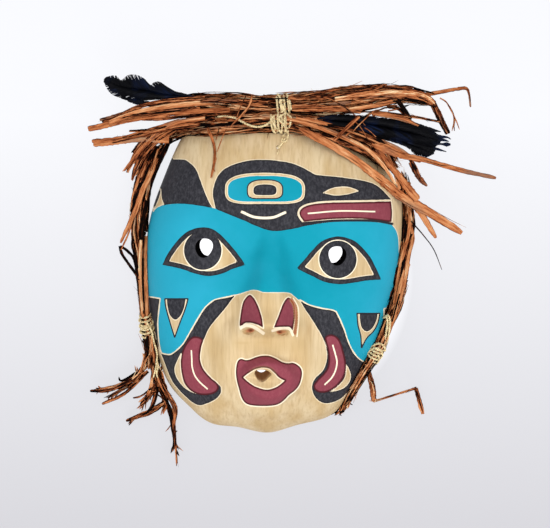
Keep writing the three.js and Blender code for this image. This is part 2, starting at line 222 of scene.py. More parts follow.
# %% The band and the cheeks
BLUE_BAND = cornered(
    [(138, 240), (142, 222), (151.9, 214), (156.3, 208.2), (163.6, 205), (182.7, 203.4),
     (201.8, 205.6), (215.3, 208.5), (231, 214.5), (255.6, 225), (272.2, 229), (300, 226),
     (338.3, 219), (384.2, 221), (390.3, 223.5), (394.9, 228.8), (397.6, 235), (398.6, 243)],
    [(398.6, 243), (398.4, 262), (395, 290), (389, 322), (384, 343), (377, 355), (368, 364)],
    [(368, 364), (345, 352), (330, 335), (316, 316), (299.4, 300.8)],
    [(299.4, 300.8), (294, 296), (288, 292.6), (272, 292.4), (263, 292), (256.5, 290),
     (251, 290), (243.8, 292.4), (235, 295)],
    [(235, 295), (222, 304), (206, 318), (195, 340), (182, 352)],
    [(182, 352), (170, 356.5), (162, 356), (158.2, 345), (155.9, 330), (154, 312), (152, 299)],
    [(152, 299), (138, 297), (136, 265), (138, 240)],
)
LEFT_CHEEK = cornered(
    [(229.7, 297.1), (217.2, 299.6), (212, 302.2), (206, 307.4), (201.7, 313.4), (196.5, 322),
     (190.5, 332.4), (184.5, 342.7), (180.1, 347.9), (174.1, 353), (169, 355.2), (160.5, 353.6)],
    [(160.5, 353.6), (158.2, 341), (157.3, 328), (157.3, 319.5), (159.5, 299)],
    [(159.5, 299), (147, 297)],
    [(147, 297), (150, 312), (154.5, 330), (158, 345), (162.9, 358.2), (171.5, 379.7),
     (180.1, 391), (186.2, 397), (193, 402.6), (200, 405.2), (210.3, 402.1), (217.2, 397.8),
     (220.8, 392.7), (221, 387.5)],
    [(221, 387.5), (218, 384), (210.3, 378), (203.4, 371.1), (200, 362.5), (199.5, 353.9),
     (201.7, 345.3), (204.3, 338.4), (210.3, 326.3), (223.2, 310.8), (229.7, 302.2),
     (235, 295.6)],
    [(235, 295.6), (229.7, 297.1)],
)
RIGHT_CHEEK = cornered(
    [(300, 300.5), (308.9, 305.4), (322.3, 309), (331.3, 310.4), (335.7, 312.1)],
    [(335.7, 312.1), (339.3, 319.3), (343.8, 330), (347.3, 340.7), (351.8, 350.5),
     (357.1, 357.7), (362.5, 361.7), (368, 363)],
    [(368, 363), (360.7, 374.6), (353.6, 384.5), (343.8, 396.1), (335.7, 401.2), (326.8, 403.3),
     (319.6, 401.2), (314.7, 396.1), (312, 388.9), (312.5, 382.7)],
    [(312.5, 382.7), (316.1, 377.3), (323.2, 370.2), (326.8, 360.4), (326.8, 351.4),
     (324.1, 340.7), (319.6, 331.8), (312.5, 320.2), (305.4, 309.5), (300, 300.5)],
)
RIM_STRIP = cornered(
    [(384.6, 309), (384.4, 322), (381.6, 337.5), (376, 349), (368, 363)],
    [(368, 363), (376, 370), (400, 330), (402, 309)], [(402, 309), (384.6, 309)],
)

# %% The eyes and the temple
LEFT_EYE = cornered(
    [(162.3, 264.8), (168, 253.4), (178, 240), (188.5, 231), (202, 227.4), (212.5, 229.2),
     (222, 236), (232, 247), (240, 257), (246, 265.4)],
    [(246, 265.4), (235, 268), (222, 273.6), (208, 276), (195, 273.5), (180, 268.6),
     (162.3, 264.8)],
)
RIGHT_EYE = cornered(
    [(296.6, 268.4), (305, 259), (313, 249.5), (323, 240.6), (337, 236.5), (349, 238.5),
     (358, 243.6), (369, 255.4), (376, 268), (381.2, 279.6)],
    [(381.2, 279.6), (366, 280.6), (352, 283), (340, 284.2), (325, 282), (311, 275.4),
     (296.6, 268.4)],
)
IRISES = [disc(202.8, 250.4, 18.9, 19.6), disc(337.9, 259.4, 18.8, 18.9)]
TEMPLE = cornered(
    [(164, 159.6), (182.7, 159.6), (189, 162.2), (195.9, 169.3), (200.3, 180.3), (204.7, 192),
     (209.1, 202.3), (213.4, 208.6)],
    [(213.4, 208.6), (201.8, 206), (182.7, 203.8), (168, 204.5), (156.3, 208.2), (148, 216)],
    [(148, 216), (140, 200), (150, 175), (164, 159.6)],
)
TEMPLE_NOTCH = cornered(
    [(161.3, 187), (161.6, 196), (162.9, 201.5), (164.6, 204.4)],
    [(164.6, 204.4), (156.3, 208.2), (151.9, 214)],
    [(151.9, 214), (156.8, 203), (159.8, 195), (161.3, 187)],
)

# %% The bird's head on the forehead
BIRD = cornered(
    [(215.6, 209), (213, 190), (222, 171), (244, 161.5), (268, 160), (294, 164), (316, 175)],
    [(316, 175), (346, 178), (374, 184), (391, 199)],
    [(391, 199), (392.4, 212), (391.5, 223.2)],
    [(391.5, 223.2), (368.9, 220.8), (338.3, 221.5), (307.7, 225.6), (290, 229.4),
     (272.2, 230.9), (255.6, 225.8), (245.1, 220.9), (231, 215.3), (215.6, 209)],
)
BIRD_EYE = (265, 190.5)
EYE_FIELD = ovoid(*BIRD_EYE, 40, 15.5)
EYE_SOCKET = ovoid(*BIRD_EYE, 37.2, 12.9)
SMALL_EYE = ovoid(*BIRD_EYE, 17.5, 9.2)
PUPIL = ovoid(*BIRD_EYE, 11.5, 5.4)
NOSTRIL = cornered(
    [(322, 193), (334, 187.6), (348, 187), (360, 191)],
    [(360, 191), (349, 194), (337, 195.6), (322, 193)],
)
BEAK = cornered(
    [(390.9, 201.3), (361, 202), (330, 202.6), (311, 204.6), (301.6, 208.6), (299.4, 214.6),
     (304, 221.8)],
    [(304, 221.8), (330.6, 219.2), (361.2, 218.9), (391.5, 222.2)],
    [(391.5, 222.2), (392.2, 212), (390.9, 201.3)],
)

# %% The split forms, the cheek forms and the nose's wings
LEFT_SPLIT = cornered(
    [(165, 299), (166.2, 308), (169.8, 321), (174.7, 337)],
    [(174.7, 337), (179.2, 324), (185, 309), (187.8, 299)], [(187.8, 299), (165, 299)],
)
LEFT_SPLIT_EYE = cornered(
    [(167, 299), (167.6, 307), (170, 315), (175, 319.8), (180.4, 315.8), (184, 308),
     (185.8, 299)], [(185.8, 299), (167, 299)],
)
RIGHT_SPLIT = cornered(
    [(357.2, 313.6), (358.2, 325), (361, 336), (361.6, 347.4)],
    [(361.6, 347.4), (366.6, 338), (373.4, 331), (377.6, 323), (379.6, 313.6)],
    [(379.6, 313.6), (357.2, 313.6)],
)
RIGHT_SPLIT_EYE = cornered(
    [(359.6, 313.6), (360, 321), (362, 328), (366.6, 331.4), (372, 328.6), (376, 321.6),
     (377.8, 313.6)], [(377.8, 313.6), (359.6, 313.6)],
)
LEFT_GILL = cornered(
    [(219, 387.5), (217.2, 383.2), (210.3, 377.2), (203, 368.3), (200.2, 359), (201.2, 347),
     (203.2, 340.6), (200.6, 337.6), (195, 336.4), (190.8, 337.9), (186.6, 342.4),
     (182.6, 350.5), (180.8, 360.8), (181.4, 371.1), (183.8, 381.5), (188.8, 389),
     (194.8, 393.1), (201.7, 395), (210.3, 394.6), (216.6, 391.8), (219, 387.5)],
)
LEFT_GILL_BACK = cornered(
    [(181.4, 352.4), (177, 361), (174.7, 367.6), (175.2, 374), (178.6, 381), (183.6, 387),
     (189.4, 391), (196, 394)],
    [(196, 394), (186, 385), (182, 371.1), (181.4, 352.4)],
)
RIGHT_GILL = cornered(
    [(313.2, 385.4), (317, 380), (323.2, 373.8), (327.4, 367.5), (328.6, 358.6), (327.5, 349.6),
     (325.6, 342.5), (325.2, 337), (329.5, 334.6), (334.4, 335.2), (338, 338), (341, 343),
     (343.8, 352.4), (345.8, 362.4), (345.6, 371.4), (342.4, 379.6), (336, 387),
     (328, 391.8), (320.5, 392.6), (314.9, 390), (313.2, 385.4)],
)
RIGHT_GILL_BACK = cornered(
    [(346, 363.6), (349, 369), (351, 376), (348.4, 383.6), (341.5, 389.2), (329.5, 392.4)],
    [(329.5, 392.4), (340, 384), (345.4, 375), (346, 363.6)],
)
LEFT_WING = cornered(
    [(240.8, 329.2), (239.6, 324.4), (240.3, 317), (241.5, 308.8), (243.4, 301.6),
     (247, 296.4), (250.4, 294.8), (254.8, 299.4), (259, 308.4), (261.9, 318.2),
     (263.4, 328.2)],
    [(263.4, 328.2), (257.9, 324.9), (249.8, 322.7), (243.8, 323.8), (240.8, 329.2)],
)
RIGHT_WING = cornered(
    [(273.8, 327.6), (277.3, 318.8), (280.3, 310.8), (283.3, 303.4), (286.4, 298.6),
     (289.4, 297.6), (292.4, 301), (294.6, 306), (295.1, 314.8), (294, 323.5), (292.4, 331)],
    [(292.4, 331), (290, 327.4), (284, 326.9), (278, 327.2), (273.8, 327.6)],
)

# %% The mouth and all thin strokes
LIPS = smooth_loop(sheet([
    (236.1, 366.4), (237.6, 361), (241, 358.6), (245.6, 359.8), (250.1, 359.2), (256, 356.9),
    (262.7, 355.4), (269.7, 355.8), (276.4, 358.4), (282.4, 361.8), (288, 363), (292.9, 362.6),
    (297.8, 364.8), (301.6, 369.2), (302.2, 375.5), (299.8, 384.3), (295.4, 390.4),
    (289, 395.4), (284.3, 400.4), (278, 404.6), (269.7, 406.1), (258.5, 406.2), (249, 405),
    (244, 402), (240.9, 396.6), (238.8, 389), (236.8, 381.6), (235.7, 373.4),
]), 6)
MOUTH = cornered(
    [(243.2, 377.4), (250.1, 372.2), (257.1, 368.7), (264.1, 367.7), (269.7, 369),
     (274.6, 373), (278.9, 377.6), (284.8, 380.6)],
    [(284.8, 380.6), (280.3, 384.4), (274.6, 387.8), (266.9, 389.6), (257.1, 387.2),
     (250.1, 383.4), (243.2, 377.4)],
)
MUZZLE_EDGES = [sheet([
    (236, 294), (229.7, 302.2), (223.2, 310.8), (210.3, 326.3), (204.3, 338.4), (201.7, 345.3),
    (199.5, 353.9), (200, 362.5), (203.4, 371.1), (210.3, 378), (218, 384), (221, 388),
]), sheet([
    (299, 299), (305.4, 309.5), (312.5, 320.2), (319.6, 331.8), (324.1, 340.7), (326.8, 351.4),
    (326.8, 360.4), (323.2, 370.2), (316.1, 377.3), (312.5, 383), (312, 389),
])]
BARE_AND_HIGHLIGHT_STROKES = [
    (0.75, [(309, 213.4), (340, 211), (374, 211.6)]),
    (1.25, [(243, 212.4), (255, 217.2), (272, 217.6), (284, 213)]),
    (0.7, [(191.4, 351.3), (191.8, 359), (192.2, 366.8), (194.8, 375.4), (200, 382.3),
           (206.8, 388.4)]),
    (0.75, [(333, 346), (335.3, 354.1), (337, 362.1), (335.3, 371), (331.3, 378.2),
            (325.4, 384)]),
    # The next three strokes are painted highlights: the two ledges under the nostrils and the lit edge
    # beside the right wing.
    (1.6, [(242.6, 326.8), (246.4, 325.4), (252, 326.4), (257.6, 329.4), (262, 332.4)]),
    (1.3, [(273.8, 330.4), (279, 329), (285, 328.2), (290, 329.4), (292.4, 334)]),
    (0.6, [(293.6, 298.6), (298, 307), (298.8, 318), (297.8, 330), (297, 336)]),
]
# Painted shade: a brown stroke down the outer wall of the sunk right wing.
SHADE_STROKES = [(2.0, [(291.6, 299.6), (295, 306), (296.2, 317), (295.6, 328), (294.6, 334)])]
INK_STROKES = [(1.25, [(303, 223.3), (320, 221.8), (338, 220.6), (361, 220.4), (378, 221.2),
                      (391, 223.6)])]
print("the bird's head has", len(BIRD), "places on its outline")

# %% [markdown]
# ## Distance to an outline
# A form's edge is kept as the distance to it, less than nothing inside. Such a number changes
# evenly over the wood, so a mesh of one millimetre steps still gives a clean painted edge, and
# the same number tells the carver how deep to cut beside it.

# %% Distances on the drawing
FAR = 9.0


def nearest(u, v, line, closed):
    """Distance to a line of straight steps, and the distance to the nearest step's own endless
    line, above 0 to its left. The second runs evenly through 0, even beyond the line's ends."""
    ends = np.roll(line, -1, 0) if closed else line[1:]
    starts = line if closed else line[:-1]
    best = np.full(len(u), FAR * FAR)
    beside = np.full(len(u), FAR)
    for (au, av), (bu, bv) in zip(starts, ends):
        du, dv = bu - au, bv - av
        length = np.hypot(du, dv) + 1e-9
        held = np.clip(((u - au) * du + (v - av) * dv) / length**2, 0, 1)
        square = (u - au - held * du) ** 2 + (v - av - held * dv) ** 2
        closer = square < best
        best = np.where(closer, square, best)
        beside = np.where(closer, (du * (v - av) - dv * (u - au)) / length, beside)
    return np.sqrt(best), beside


def inside(u, v, loop):
    """Whether a ray to the right of a place crosses the outline an odd number of times."""
    odd = np.zeros(len(u), bool)
    for (au, av), (bu, bv) in zip(loop, np.roll(loop, -1, 0)):
        if av != bv:
            crossed = (av > v) != (bv > v)
            odd ^= crossed & (u < au + (v - av) * (bu - au) / (bv - av))
    return odd


def close_to(u, v, line):
    """Which places lie within FAR of the line's box, so that the rest need no work."""
    low, high = line.min(0) - FAR, line.max(0) + FAR
    return (u > low[0]) & (u < high[0]) & (v > low[1]) & (v < high[1])


def edge_distance(u, v, loop):
    """Signed distance to a closed outline, below 0 inside it and FAR a long way outside it."""
    near = close_to(u, v, loop)
    found = np.full(len(u), FAR)
    distance = nearest(u[near], v[near], loop, True)[0]
    found[near] = np.where(inside(u[near], v[near], loop), -distance, distance)
    return found


def stroke_distance(u, v, line):
    """Distance to an open line, and the distance beside it with its sign."""
    near = close_to(u, v, line)
    found = np.full((2, len(u)), FAR)
    found[:, near] = nearest(u[near], v[near], line, False)
    return found

# %% [markdown]
# ## The shape of the face
# The carver starts from a half log, rounds it to a dome that falls steeply to the rim, then raises
# the nose, the muzzle and the lips and sinks the eye sockets. The dome here is a superellipse in
# every direction from the tip of the nose, and each feature is a smooth hump on top of it. The
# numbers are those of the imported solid, so that the fine surface lies in it.

# %% The plain dome with its features
MIDDLE = np.array([-6.0, -40.0])
MASK_DEPTH, DOME_POWER, WALL, FACE_THICKNESS = 88.0, 2.6, 13.0, 15.0
NOSE_HEIGHT, SOCKET_DEPTH, EYEBALL_HEIGHT = 24.0, 6.0, 9.0
MUZZLE_HEIGHT, LIPS_HEIGHT, CHIN_HEIGHT = 9.0, 12.0, 6.0
FEATURES_END = 0.86  # share of the way to the rim where the features begin to fade
EYEBALLS = [(-71.9, 13.2, 31, 24), (63.2, 5.2, 31, 24)]
SOCKETS = [(-70, 12, 62, 42), (62, 5, 62, 42)]
MUZZLE_PLACE, LIPS_PLACE, CHIN_PLACE = (-9, -103, 66, 62), (-6, -117, 35, 27), (-9, -151, 38, 20)

from_middle = OUTLINE - MIDDLE
outline_angle = np.arctan2(from_middle[:, 1], from_middle[:, 0])
outline_reach = np.hypot(from_middle[:, 0], from_middle[:, 1])


def reach(angle):
    """How far the outline is from the tip of the nose, in the direction of an angle."""
    return np.interp(angle, outline_angle[np.argsort(outline_angle)],
                     outline_reach[np.argsort(outline_angle)], period=2 * np.pi)


def hump(u, v, place):
    """(1 - r squared) squared over an ellipse: 1 in its middle, and 0 with no slope at its edge."""
    square = ((u - place[0]) / place[2]) ** 2 + ((v - place[1]) / place[3]) ** 2
    return np.where(square < 1, (1 - np.minimum(square, 1)) ** 2, 0)


def plateau(u, v, place, slope):
    """1 over an ellipse's inner part, with a soft slope over the outer share of its radius."""
    radius = np.hypot((u - place[0]) / place[2], (v - place[1]) / place[3])
    return 1 - ramp(1 - slope, 1, radius)


def relief(u, v):
    """Nose, sockets, eyeballs, muzzle, lips and chin, as heights over the plain dome. The nose
    is exp(-(distance from the centre line / half width) cubed), growing from brows to tip."""
    along = ramp(-48, 45, -v) * (1 - ramp(60, 76, -v))
    half_width = 10 + 6 * ramp(-30, 0, -v) + 12 * ramp(0, 52, -v)
    height = NOSE_HEIGHT * along * np.exp(-(np.abs(u + 4 - 0.036 * v) / half_width) ** 3)
    for ball, socket in zip(EYEBALLS, SOCKETS):
        height = height - SOCKET_DEPTH * hump(u, v, socket) + EYEBALL_HEIGHT * hump(u, v, ball)
    height = height + MUZZLE_HEIGHT * plateau(u, v, MUZZLE_PLACE, 0.45)
    height = height + LIPS_HEIGHT * plateau(u, v, LIPS_PLACE, 0.4)
    return height + CHIN_HEIGHT * hump(u, v, CHIN_PLACE)


def share_out(u, v):
    """How far out a place lies: 0 at the tip of the nose and 1 on the outline."""
    du, dv = u - MIDDLE[0], v - MIDDLE[1]
    return np.hypot(du, dv) / reach(np.arctan2(dv, du))


def dome(part):
    """A superellipse: (1 - part to the power) to one over the power, 1 in the middle, 0 at 1."""
    return (1 - np.minimum(part, 1) ** DOME_POWER) ** (1 / DOME_POWER)


# %% [markdown]
# ## The knife's finer work
# Beside the painted edges the wood is cut: the cheeks step down from the muzzle, the nose's two
# wings are flat planes sunk into its sides, the lips stand up with a crisp edge, and the mouth is
# an open lens with a bevel. All of this comes from the distances to the drawn outlines.

# %% Carved steps, wings, lips and mouth
CHEEK_STEP, WING_STEP, LIP_STEP, MOUTH_BEVEL = 2.4, 1.8, 1.7, 7.5
LEDGE_HEIGHT, NOSTRIL_DEPTH, LID_GROOVE, FACET = 1.5, 7.5, 0.45, 0.12
NOSTRILS = [(-25.6, -67.4, 7.4, 3.4), (7.2, -68.4, 7.8, 3.4)]
LEDGES = [[(241, 325), (247, 324), (254, 325), (263, 330)], [(273, 329), (281, 327.4), (291, 328)]]


def carving(u, v):
    """Heights of the knife's work. A step is a soft ramp of the distance inside an outline; a
    cheek's step fades with the distance from the muzzle, as exp(-(distance / 12) squared)."""
    height = np.zeros(len(u))
    for cheek, edge in zip((LEFT_CHEEK, RIGHT_CHEEK), MUZZLE_EDGES):
        away = stroke_distance(u, v, edge)[0]
        height -= CHEEK_STEP * ramp(0, 1.4, -edge_distance(u, v, cheek)) * np.exp(-(away / 12) ** 2)
    for wing in (LEFT_WING, RIGHT_WING):
        sunk = -edge_distance(u, v, wing)
        height -= WING_STEP * ramp(0, 1.3, sunk)
    for ledge in LEDGES:
        beside = stroke_distance(u, v, smooth_run(sheet(ledge), np.linspace(0, 1, 20)))[0]
        height += LEDGE_HEIGHT * np.exp(-(beside / 2.2) ** 2)
    for nostril in NOSTRILS:
        height -= NOSTRIL_DEPTH * np.sqrt(hump(u, v, nostril))
    height += LIP_STEP * ramp(-0.3, 1.2, -edge_distance(u, v, LIPS))
    height -= MOUTH_BEVEL * ramp(-1, 9.5, -edge_distance(u, v, MOUTH)) ** 0.8
    for lid in (LEFT_EYE, RIGHT_EYE):
        rim_of_lid = edge_distance(u, v, lid)
        height -= LID_GROOVE * np.exp(-(rim_of_lid / 1.1) ** 2)
    return height


def face_height(u, v):
    """The finished face's height over the rim: dome, features that fade near the rim, and the
    knife's work."""
    part = share_out(u, v)
    facets = FACET * np.sin(u / 5.1 + 1.3 * np.sin(v / 9.7)) * np.sin(v / 7.3 + np.sin(u / 8.9))
    added = (relief(u, v) + facets) * (1 - ramp(FEATURES_END, 1, part))
    return MASK_DEPTH * dome(part) + added + carving(u, v) * (1 - ramp(0.9, 0.99, part))


# %% [markdown]
# ## A grid over a round face
# A grid of squares is bent onto the round face: each square ring of the grid becomes one ring
# round the nose. Its steps stay near one millimetre everywhere, with no crowded pole, so the thin
# painted lines on the forehead come out as clean as those beside the nose. The rings are spaced
# evenly along the surface, because the sides fall steeply.

# %% The face, its rim and its hollow back
HALF_GRID = 141
MEAN_REACH = 145
HOLLOW_RINGS = 20
FOLLOWS = 0.35  # share of the face's relief that the hollow back repeats
GOUGE_DEPTH = 0.5

steps = np.arange(-HALF_GRID, HALF_GRID + 1) / HALF_GRID
across, up = np.meshgrid(steps, steps)
ring = np.maximum(np.abs(across), np.abs(up))
wide = np.abs(across) >= np.abs(up)
safe_across, safe_up = np.where(across == 0, 1, across), np.where(up == 0, 1, up)
angle = np.where(wide, np.pi / 4 * up / safe_across + np.where(across < 0, np.pi, 0),
                 np.pi / 2 - np.pi / 4 * across / safe_up + np.where(up < 0, np.pi, 0))
fine = np.sin(np.linspace(0, np.pi / 2, 4000)) ** (2 / DOME_POWER)
length = np.concatenate([[0], np.cumsum(np.hypot(
    np.diff(fine) * MEAN_REACH, np.diff(MASK_DEPTH * dome(fine))))])
part = np.interp(ring * length[-1], length, fine)
u = MIDDLE[0] + part * reach(angle) * np.cos(angle)
v = MIDDLE[1] + part * reach(angle) * np.sin(angle)
z = face_height(u.ravel(), v.ravel()).reshape(u.shape)
z[ring > 1 - 1e-9] = 0
face = real(u, v, z).reshape(-1, 3)

# %% The hollow back
side = 2 * HALF_GRID + 1
index = np.arange(side * side).reshape(side, side)
face_quads = np.stack([index[:-1, :-1], index[:-1, 1:], index[1:, 1:], index[1:, :-1]], -1)
edge_round = np.concatenate([index[0, :-1], index[:-1, -1], index[-1, :0:-1], index[:0:-1, 0]])

back_angle = angle.ravel()[edge_round[::2]]
count = len(back_angle)
hollow_part = np.cos(np.linspace(0, np.pi / 2, HOLLOW_RINGS + 1))[:-1] ** (2 / DOME_POWER)
insets = np.concatenate([[1.2, 6.5], np.full(HOLLOW_RINGS, WALL)])[:, None]
parts = np.concatenate([[1, 1], hollow_part])[:, None]
back_reach = (reach(back_angle)[None] - insets) * parts
back_u = MIDDLE[0] + back_reach * np.cos(back_angle)
back_v = MIDDLE[1] + back_reach * np.sin(back_angle)
gouges = (GOUGE_DEPTH * np.abs(np.sin(back_u / 7 + np.sin(back_v / 11)))
          * np.abs(np.sin(back_v / 13)))
back_z = dome(parts) * (MASK_DEPTH - FACE_THICKNESS + gouges
                        + FOLLOWS * relief(back_u.ravel(), back_v.ravel()).reshape(back_u.shape))
back_z[:3] = 0
back = real(back_u, back_v, back_z).reshape(-1, 3)
pole_height = MASK_DEPTH - FACE_THICKNESS + FOLLOWS * relief(*MIDDLE[:, None])[0]
deepest = real(*MIDDLE, pole_height)[None]

# %% Rim and back are joined to the face
first = side * side
back_index = first + np.arange(len(parts) * count).reshape(len(parts), count)
back_turned = np.roll(back_index, -1, 1)
back_quads = np.stack([back_index[:-1], back_index[1:], back_turned[1:], back_turned[:-1]], -1)
outer, middle_edge, next_outer = edge_round[::2], edge_round[1::2], np.roll(edge_round, -2)[::2]
join = np.concatenate([
    np.column_stack([outer, back_index[0], middle_edge]),
    np.column_stack([middle_edge, back_index[0], back_turned[0]]),
    np.column_stack([middle_edge, back_turned[0], next_outer]),
])
pole = first + back_index.size
fan = np.column_stack([back_index[-1], np.full(count, pole), back_turned[-1]])
mask = shaped("carved_face", np.concatenate([face, back, deepest]),
              [face_quads.reshape(-1, 4), back_quads.reshape(-1, 4), join, fan])
print("the face's mesh has", triangles(mask), "triangles")

# %% [markdown]
# ## Holes through the wood
# The eyes, the mouth and three small tie holes go right through. A drill is a round rod that
# leans a little, and it is taken away from the closed face with a Boolean modifier. The eye holes
# are not quite round, as holes widened with a knife are not.

# %% Drill the eyes, the mouth and the tie holes
ROD_CORNERS = 40


def rod(place, lean, radius, above, below, uneven=0.0):
    """A rod through a drawn place on the face, along a leaning direction. Its radius waves by an
    uneven share with twice and three times the turn."""
    u, v = np.array([place[0]]), np.array([place[1]])
    start = real(u, v, face_height(u, v))[0]
    direction = np.array([lean[0], lean[1], 1.0])
    direction /= np.linalg.norm(direction)
    across = np.cross([0, 1, 0], direction)
    across /= np.linalg.norm(across)
    turn = np.linspace(0, 2 * np.pi, ROD_CORNERS, endpoint=False)
    wave = radius * (1 + uneven * np.sin(3 * turn + 0.2) + 0.4 * uneven * np.sin(2 * turn)) * MM
    circle = (np.outer(np.cos(turn) * wave, across)
              + np.outer(np.sin(turn) * wave, np.cross(direction, across)))
    return np.stack([start - below * MM * direction + circle,
                     start + above * MM * direction + circle])


EYE_HOLES = [(-71.8, 15.9), (63.2, 7.9)]
EYE_HOLE_RADIUS = 9.1
MOUTH_HOLE, MOUTH_HOLE_RADIUS = (-12.3, -110.0), 8.0
TIE_HOLES = [(3, 117), (109, -54), (-121, -66)]
TIE_HOLE_RADIUS = 1.5
CARVED_CREASE = 48  # degrees past which an edge of the wood is sharp
rods = np.stack([
    rod(EYE_HOLES[0], (-0.26, -0.16), EYE_HOLE_RADIUS, 12, 60, uneven=0.05),
    rod(EYE_HOLES[1], (0.25, -0.2), EYE_HOLE_RADIUS, 12, 60, uneven=0.05),
    rod(MOUTH_HOLE, (0.05, -0.36), MOUTH_HOLE_RADIUS, 3.5, 60, uneven=0.1),
    *[rod(place, (0, 0), TIE_HOLE_RADIUS, 15, 45) for place in TIE_HOLES],
])
drills = shaped("drills", rods.reshape(-1, 3), tube_faces(len(rods), 2, ROD_CORNERS))
cut = mask.modifiers.new("drilled", "BOOLEAN")
cut.operation, cut.solver, cut.object = "DIFFERENCE", "MANIFOLD", drills
bpy.context.view_layer.update()
drilled = bpy.data.meshes.new_from_object(
    mask.evaluated_get(bpy.context.evaluated_depsgraph_get()))
mask.modifiers.clear()
mask.data = drilled
bpy.data.objects.remove(drills)
drilled.shade_smooth()
drilled.set_sharp_from_angle(angle=np.radians(CARVED_CREASE))
print("after drilling:", triangles(mask), "triangles")

# %% [markdown]
# ## Where each colour lies
# Paint goes on in layers, as a painter works: a form covers what was there before, and a bare
# line of wood may be left round it. For each colour the distance to its own edge is kept, so a
# form with bare wood round it simply pushes all other edges back by the width of that line. The
# steep sides near the rim take their colours straight from the line where they begin.

# %% Lay the painted forms over each other
PAINT_REACH = 0.987
u, v, z = drawn(places_of(mask))
sunk = face_height(u, v) - z
pulled = np.minimum(1, PAINT_REACH / np.maximum(share_out(u, v), PAINT_REACH))
u, v = MIDDLE[0] + (u - MIDDLE[0]) * pulled, MIDDLE[1] + (v - MIDDLE[1]) * pulled
edges = {colour: np.full(len(u), FAR) for colour in ("blue", "black", "maroon")}
LID_BAND, UNDERLAP, IRIS_MIDDLE = 4.5, 0.6, 14
NO_BAND = FAR * 9  # wider than any form, so that the whole form is covered


def paint(colour, outline, bare=0.0, smaller=0.0, band=NO_BAND):
    """Covers an outline, made smaller if asked, or only a band inside it, with a colour or with
    bare wood, and keeps a bare line of that width round it. Other colours' edges become the larger
    of two distances. Under a form with no bare line they go on a little way."""
    distance = edge_distance(u, v, outline) + smaller
    distance = np.maximum(distance, -distance - band)
    under = UNDERLAP if colour in edges and bare == 0 else 0
    for other in edges:
        edges[other] = np.maximum(edges[other], bare - distance - under)
    if colour in edges:
        edges[colour] = np.minimum(edges[colour], distance)


paint("blue", BLUE_BAND)
for outline in (LEFT_CHEEK, RIGHT_CHEEK, RIM_STRIP):
    paint("black", outline, bare=1.2)
for eye, iris in zip((LEFT_EYE, RIGHT_EYE), IRISES):
    paint("black", eye)
    paint("bare", eye, smaller=LID_BAND)
    paint("black", iris, bare=0.6)
    paint("black", eye, band=LID_BAND + 0.3)
paint("black", TEMPLE)
paint("bare", TEMPLE_NOTCH)
paint("black", BIRD)
for outline in (EYE_FIELD, NOSTRIL):
    paint("bare", outline)
paint("blue", EYE_SOCKET)
paint("bare", SMALL_EYE)
paint("black", PUPIL)
paint("maroon", BEAK, bare=1.8)
for split, inner in ((LEFT_SPLIT, LEFT_SPLIT_EYE), (RIGHT_SPLIT, RIGHT_SPLIT_EYE)):
    paint("bare", split)
    paint("black", inner)
for outline in (LEFT_GILL_BACK, RIGHT_GILL_BACK):
    paint("bare", outline)
for outline in (LEFT_GILL, RIGHT_GILL, LEFT_WING, RIGHT_WING, LIPS):
    paint("maroon", outline)
paint("bare", MOUTH)

# %% [markdown]
# ## Thin strokes
# A stroke narrower than the mesh's steps would come and go if it were kept as a form. The
# distance beside its middle line runs evenly through zero, so that is kept instead, and the
# material paints what lies within half the stroke's width of it, as far as the stroke's own ends.
# The nearest stroke wins.

# %% Bare strokes, ink outlines and what lies inside the holes
strokes = {"bare": np.full((2, len(u)), FAR), "ink": np.full((2, len(u)), FAR)}


def draw(kind, half_width, distance, beside):
    """Keeps a stroke wherever it is the nearest one, in half widths from its middle line."""
    closer = distance / half_width < strokes[kind][0]
    strokes[kind][:, closer] = np.stack([distance, beside])[:, closer] / half_width


for kind, rows in (("bare", BARE_AND_HIGHLIGHT_STROKES), ("ink", INK_STROKES)):
    for half_width, stroke in rows:
        line = smooth_run(sheet(stroke), np.linspace(0, 1, 60))
        draw(kind, half_width, *stroke_distance(u, v, line))
# The pale line round the lips is a painted highlight on their step.
for kind, half_width, outside, outline in (
        ("ink", 0.65, 0.2, SMALL_EYE), ("ink", 0.65, 0.2, LEFT_SPLIT),
        ("ink", 0.65, 0.2, RIGHT_SPLIT), ("bare", 0.55, 0.4, IRISES[0]),
        ("bare", 0.5, 0.4, IRISES[1]), ("bare", 0.55, 0.3, LIPS)):
    beside = edge_distance(u, v, outline) - outside
    lid = np.where((outline is IRISES[0]) & (v > IRIS_MIDDLE),
                   edge_distance(u, v, LEFT_EYE) + LID_BAND + 1.2, -FAR)
    draw(kind, half_width, np.maximum(np.abs(beside), lid), beside)

WALL_STARTS, NEAR_EYE, BLACK_INSIDE = 1.5, 30, -3
in_wall = sunk > WALL_STARTS
in_eye = in_wall & (np.minimum(*(np.hypot(u - x, v - y) for x, y in EYE_HOLES)) < NEAR_EYE)
for colour in ("blue", "maroon"):
    edges[colour][in_wall] = FAR
edges["black"] = np.where(in_wall, np.where(in_eye, BLACK_INSIDE, FAR), edges["black"])
for kind, (distance, beside) in strokes.items():
    distance[in_wall] = FAR
    store(mask, kind + "_near", distance)
    store(mask, kind + "_line", beside)
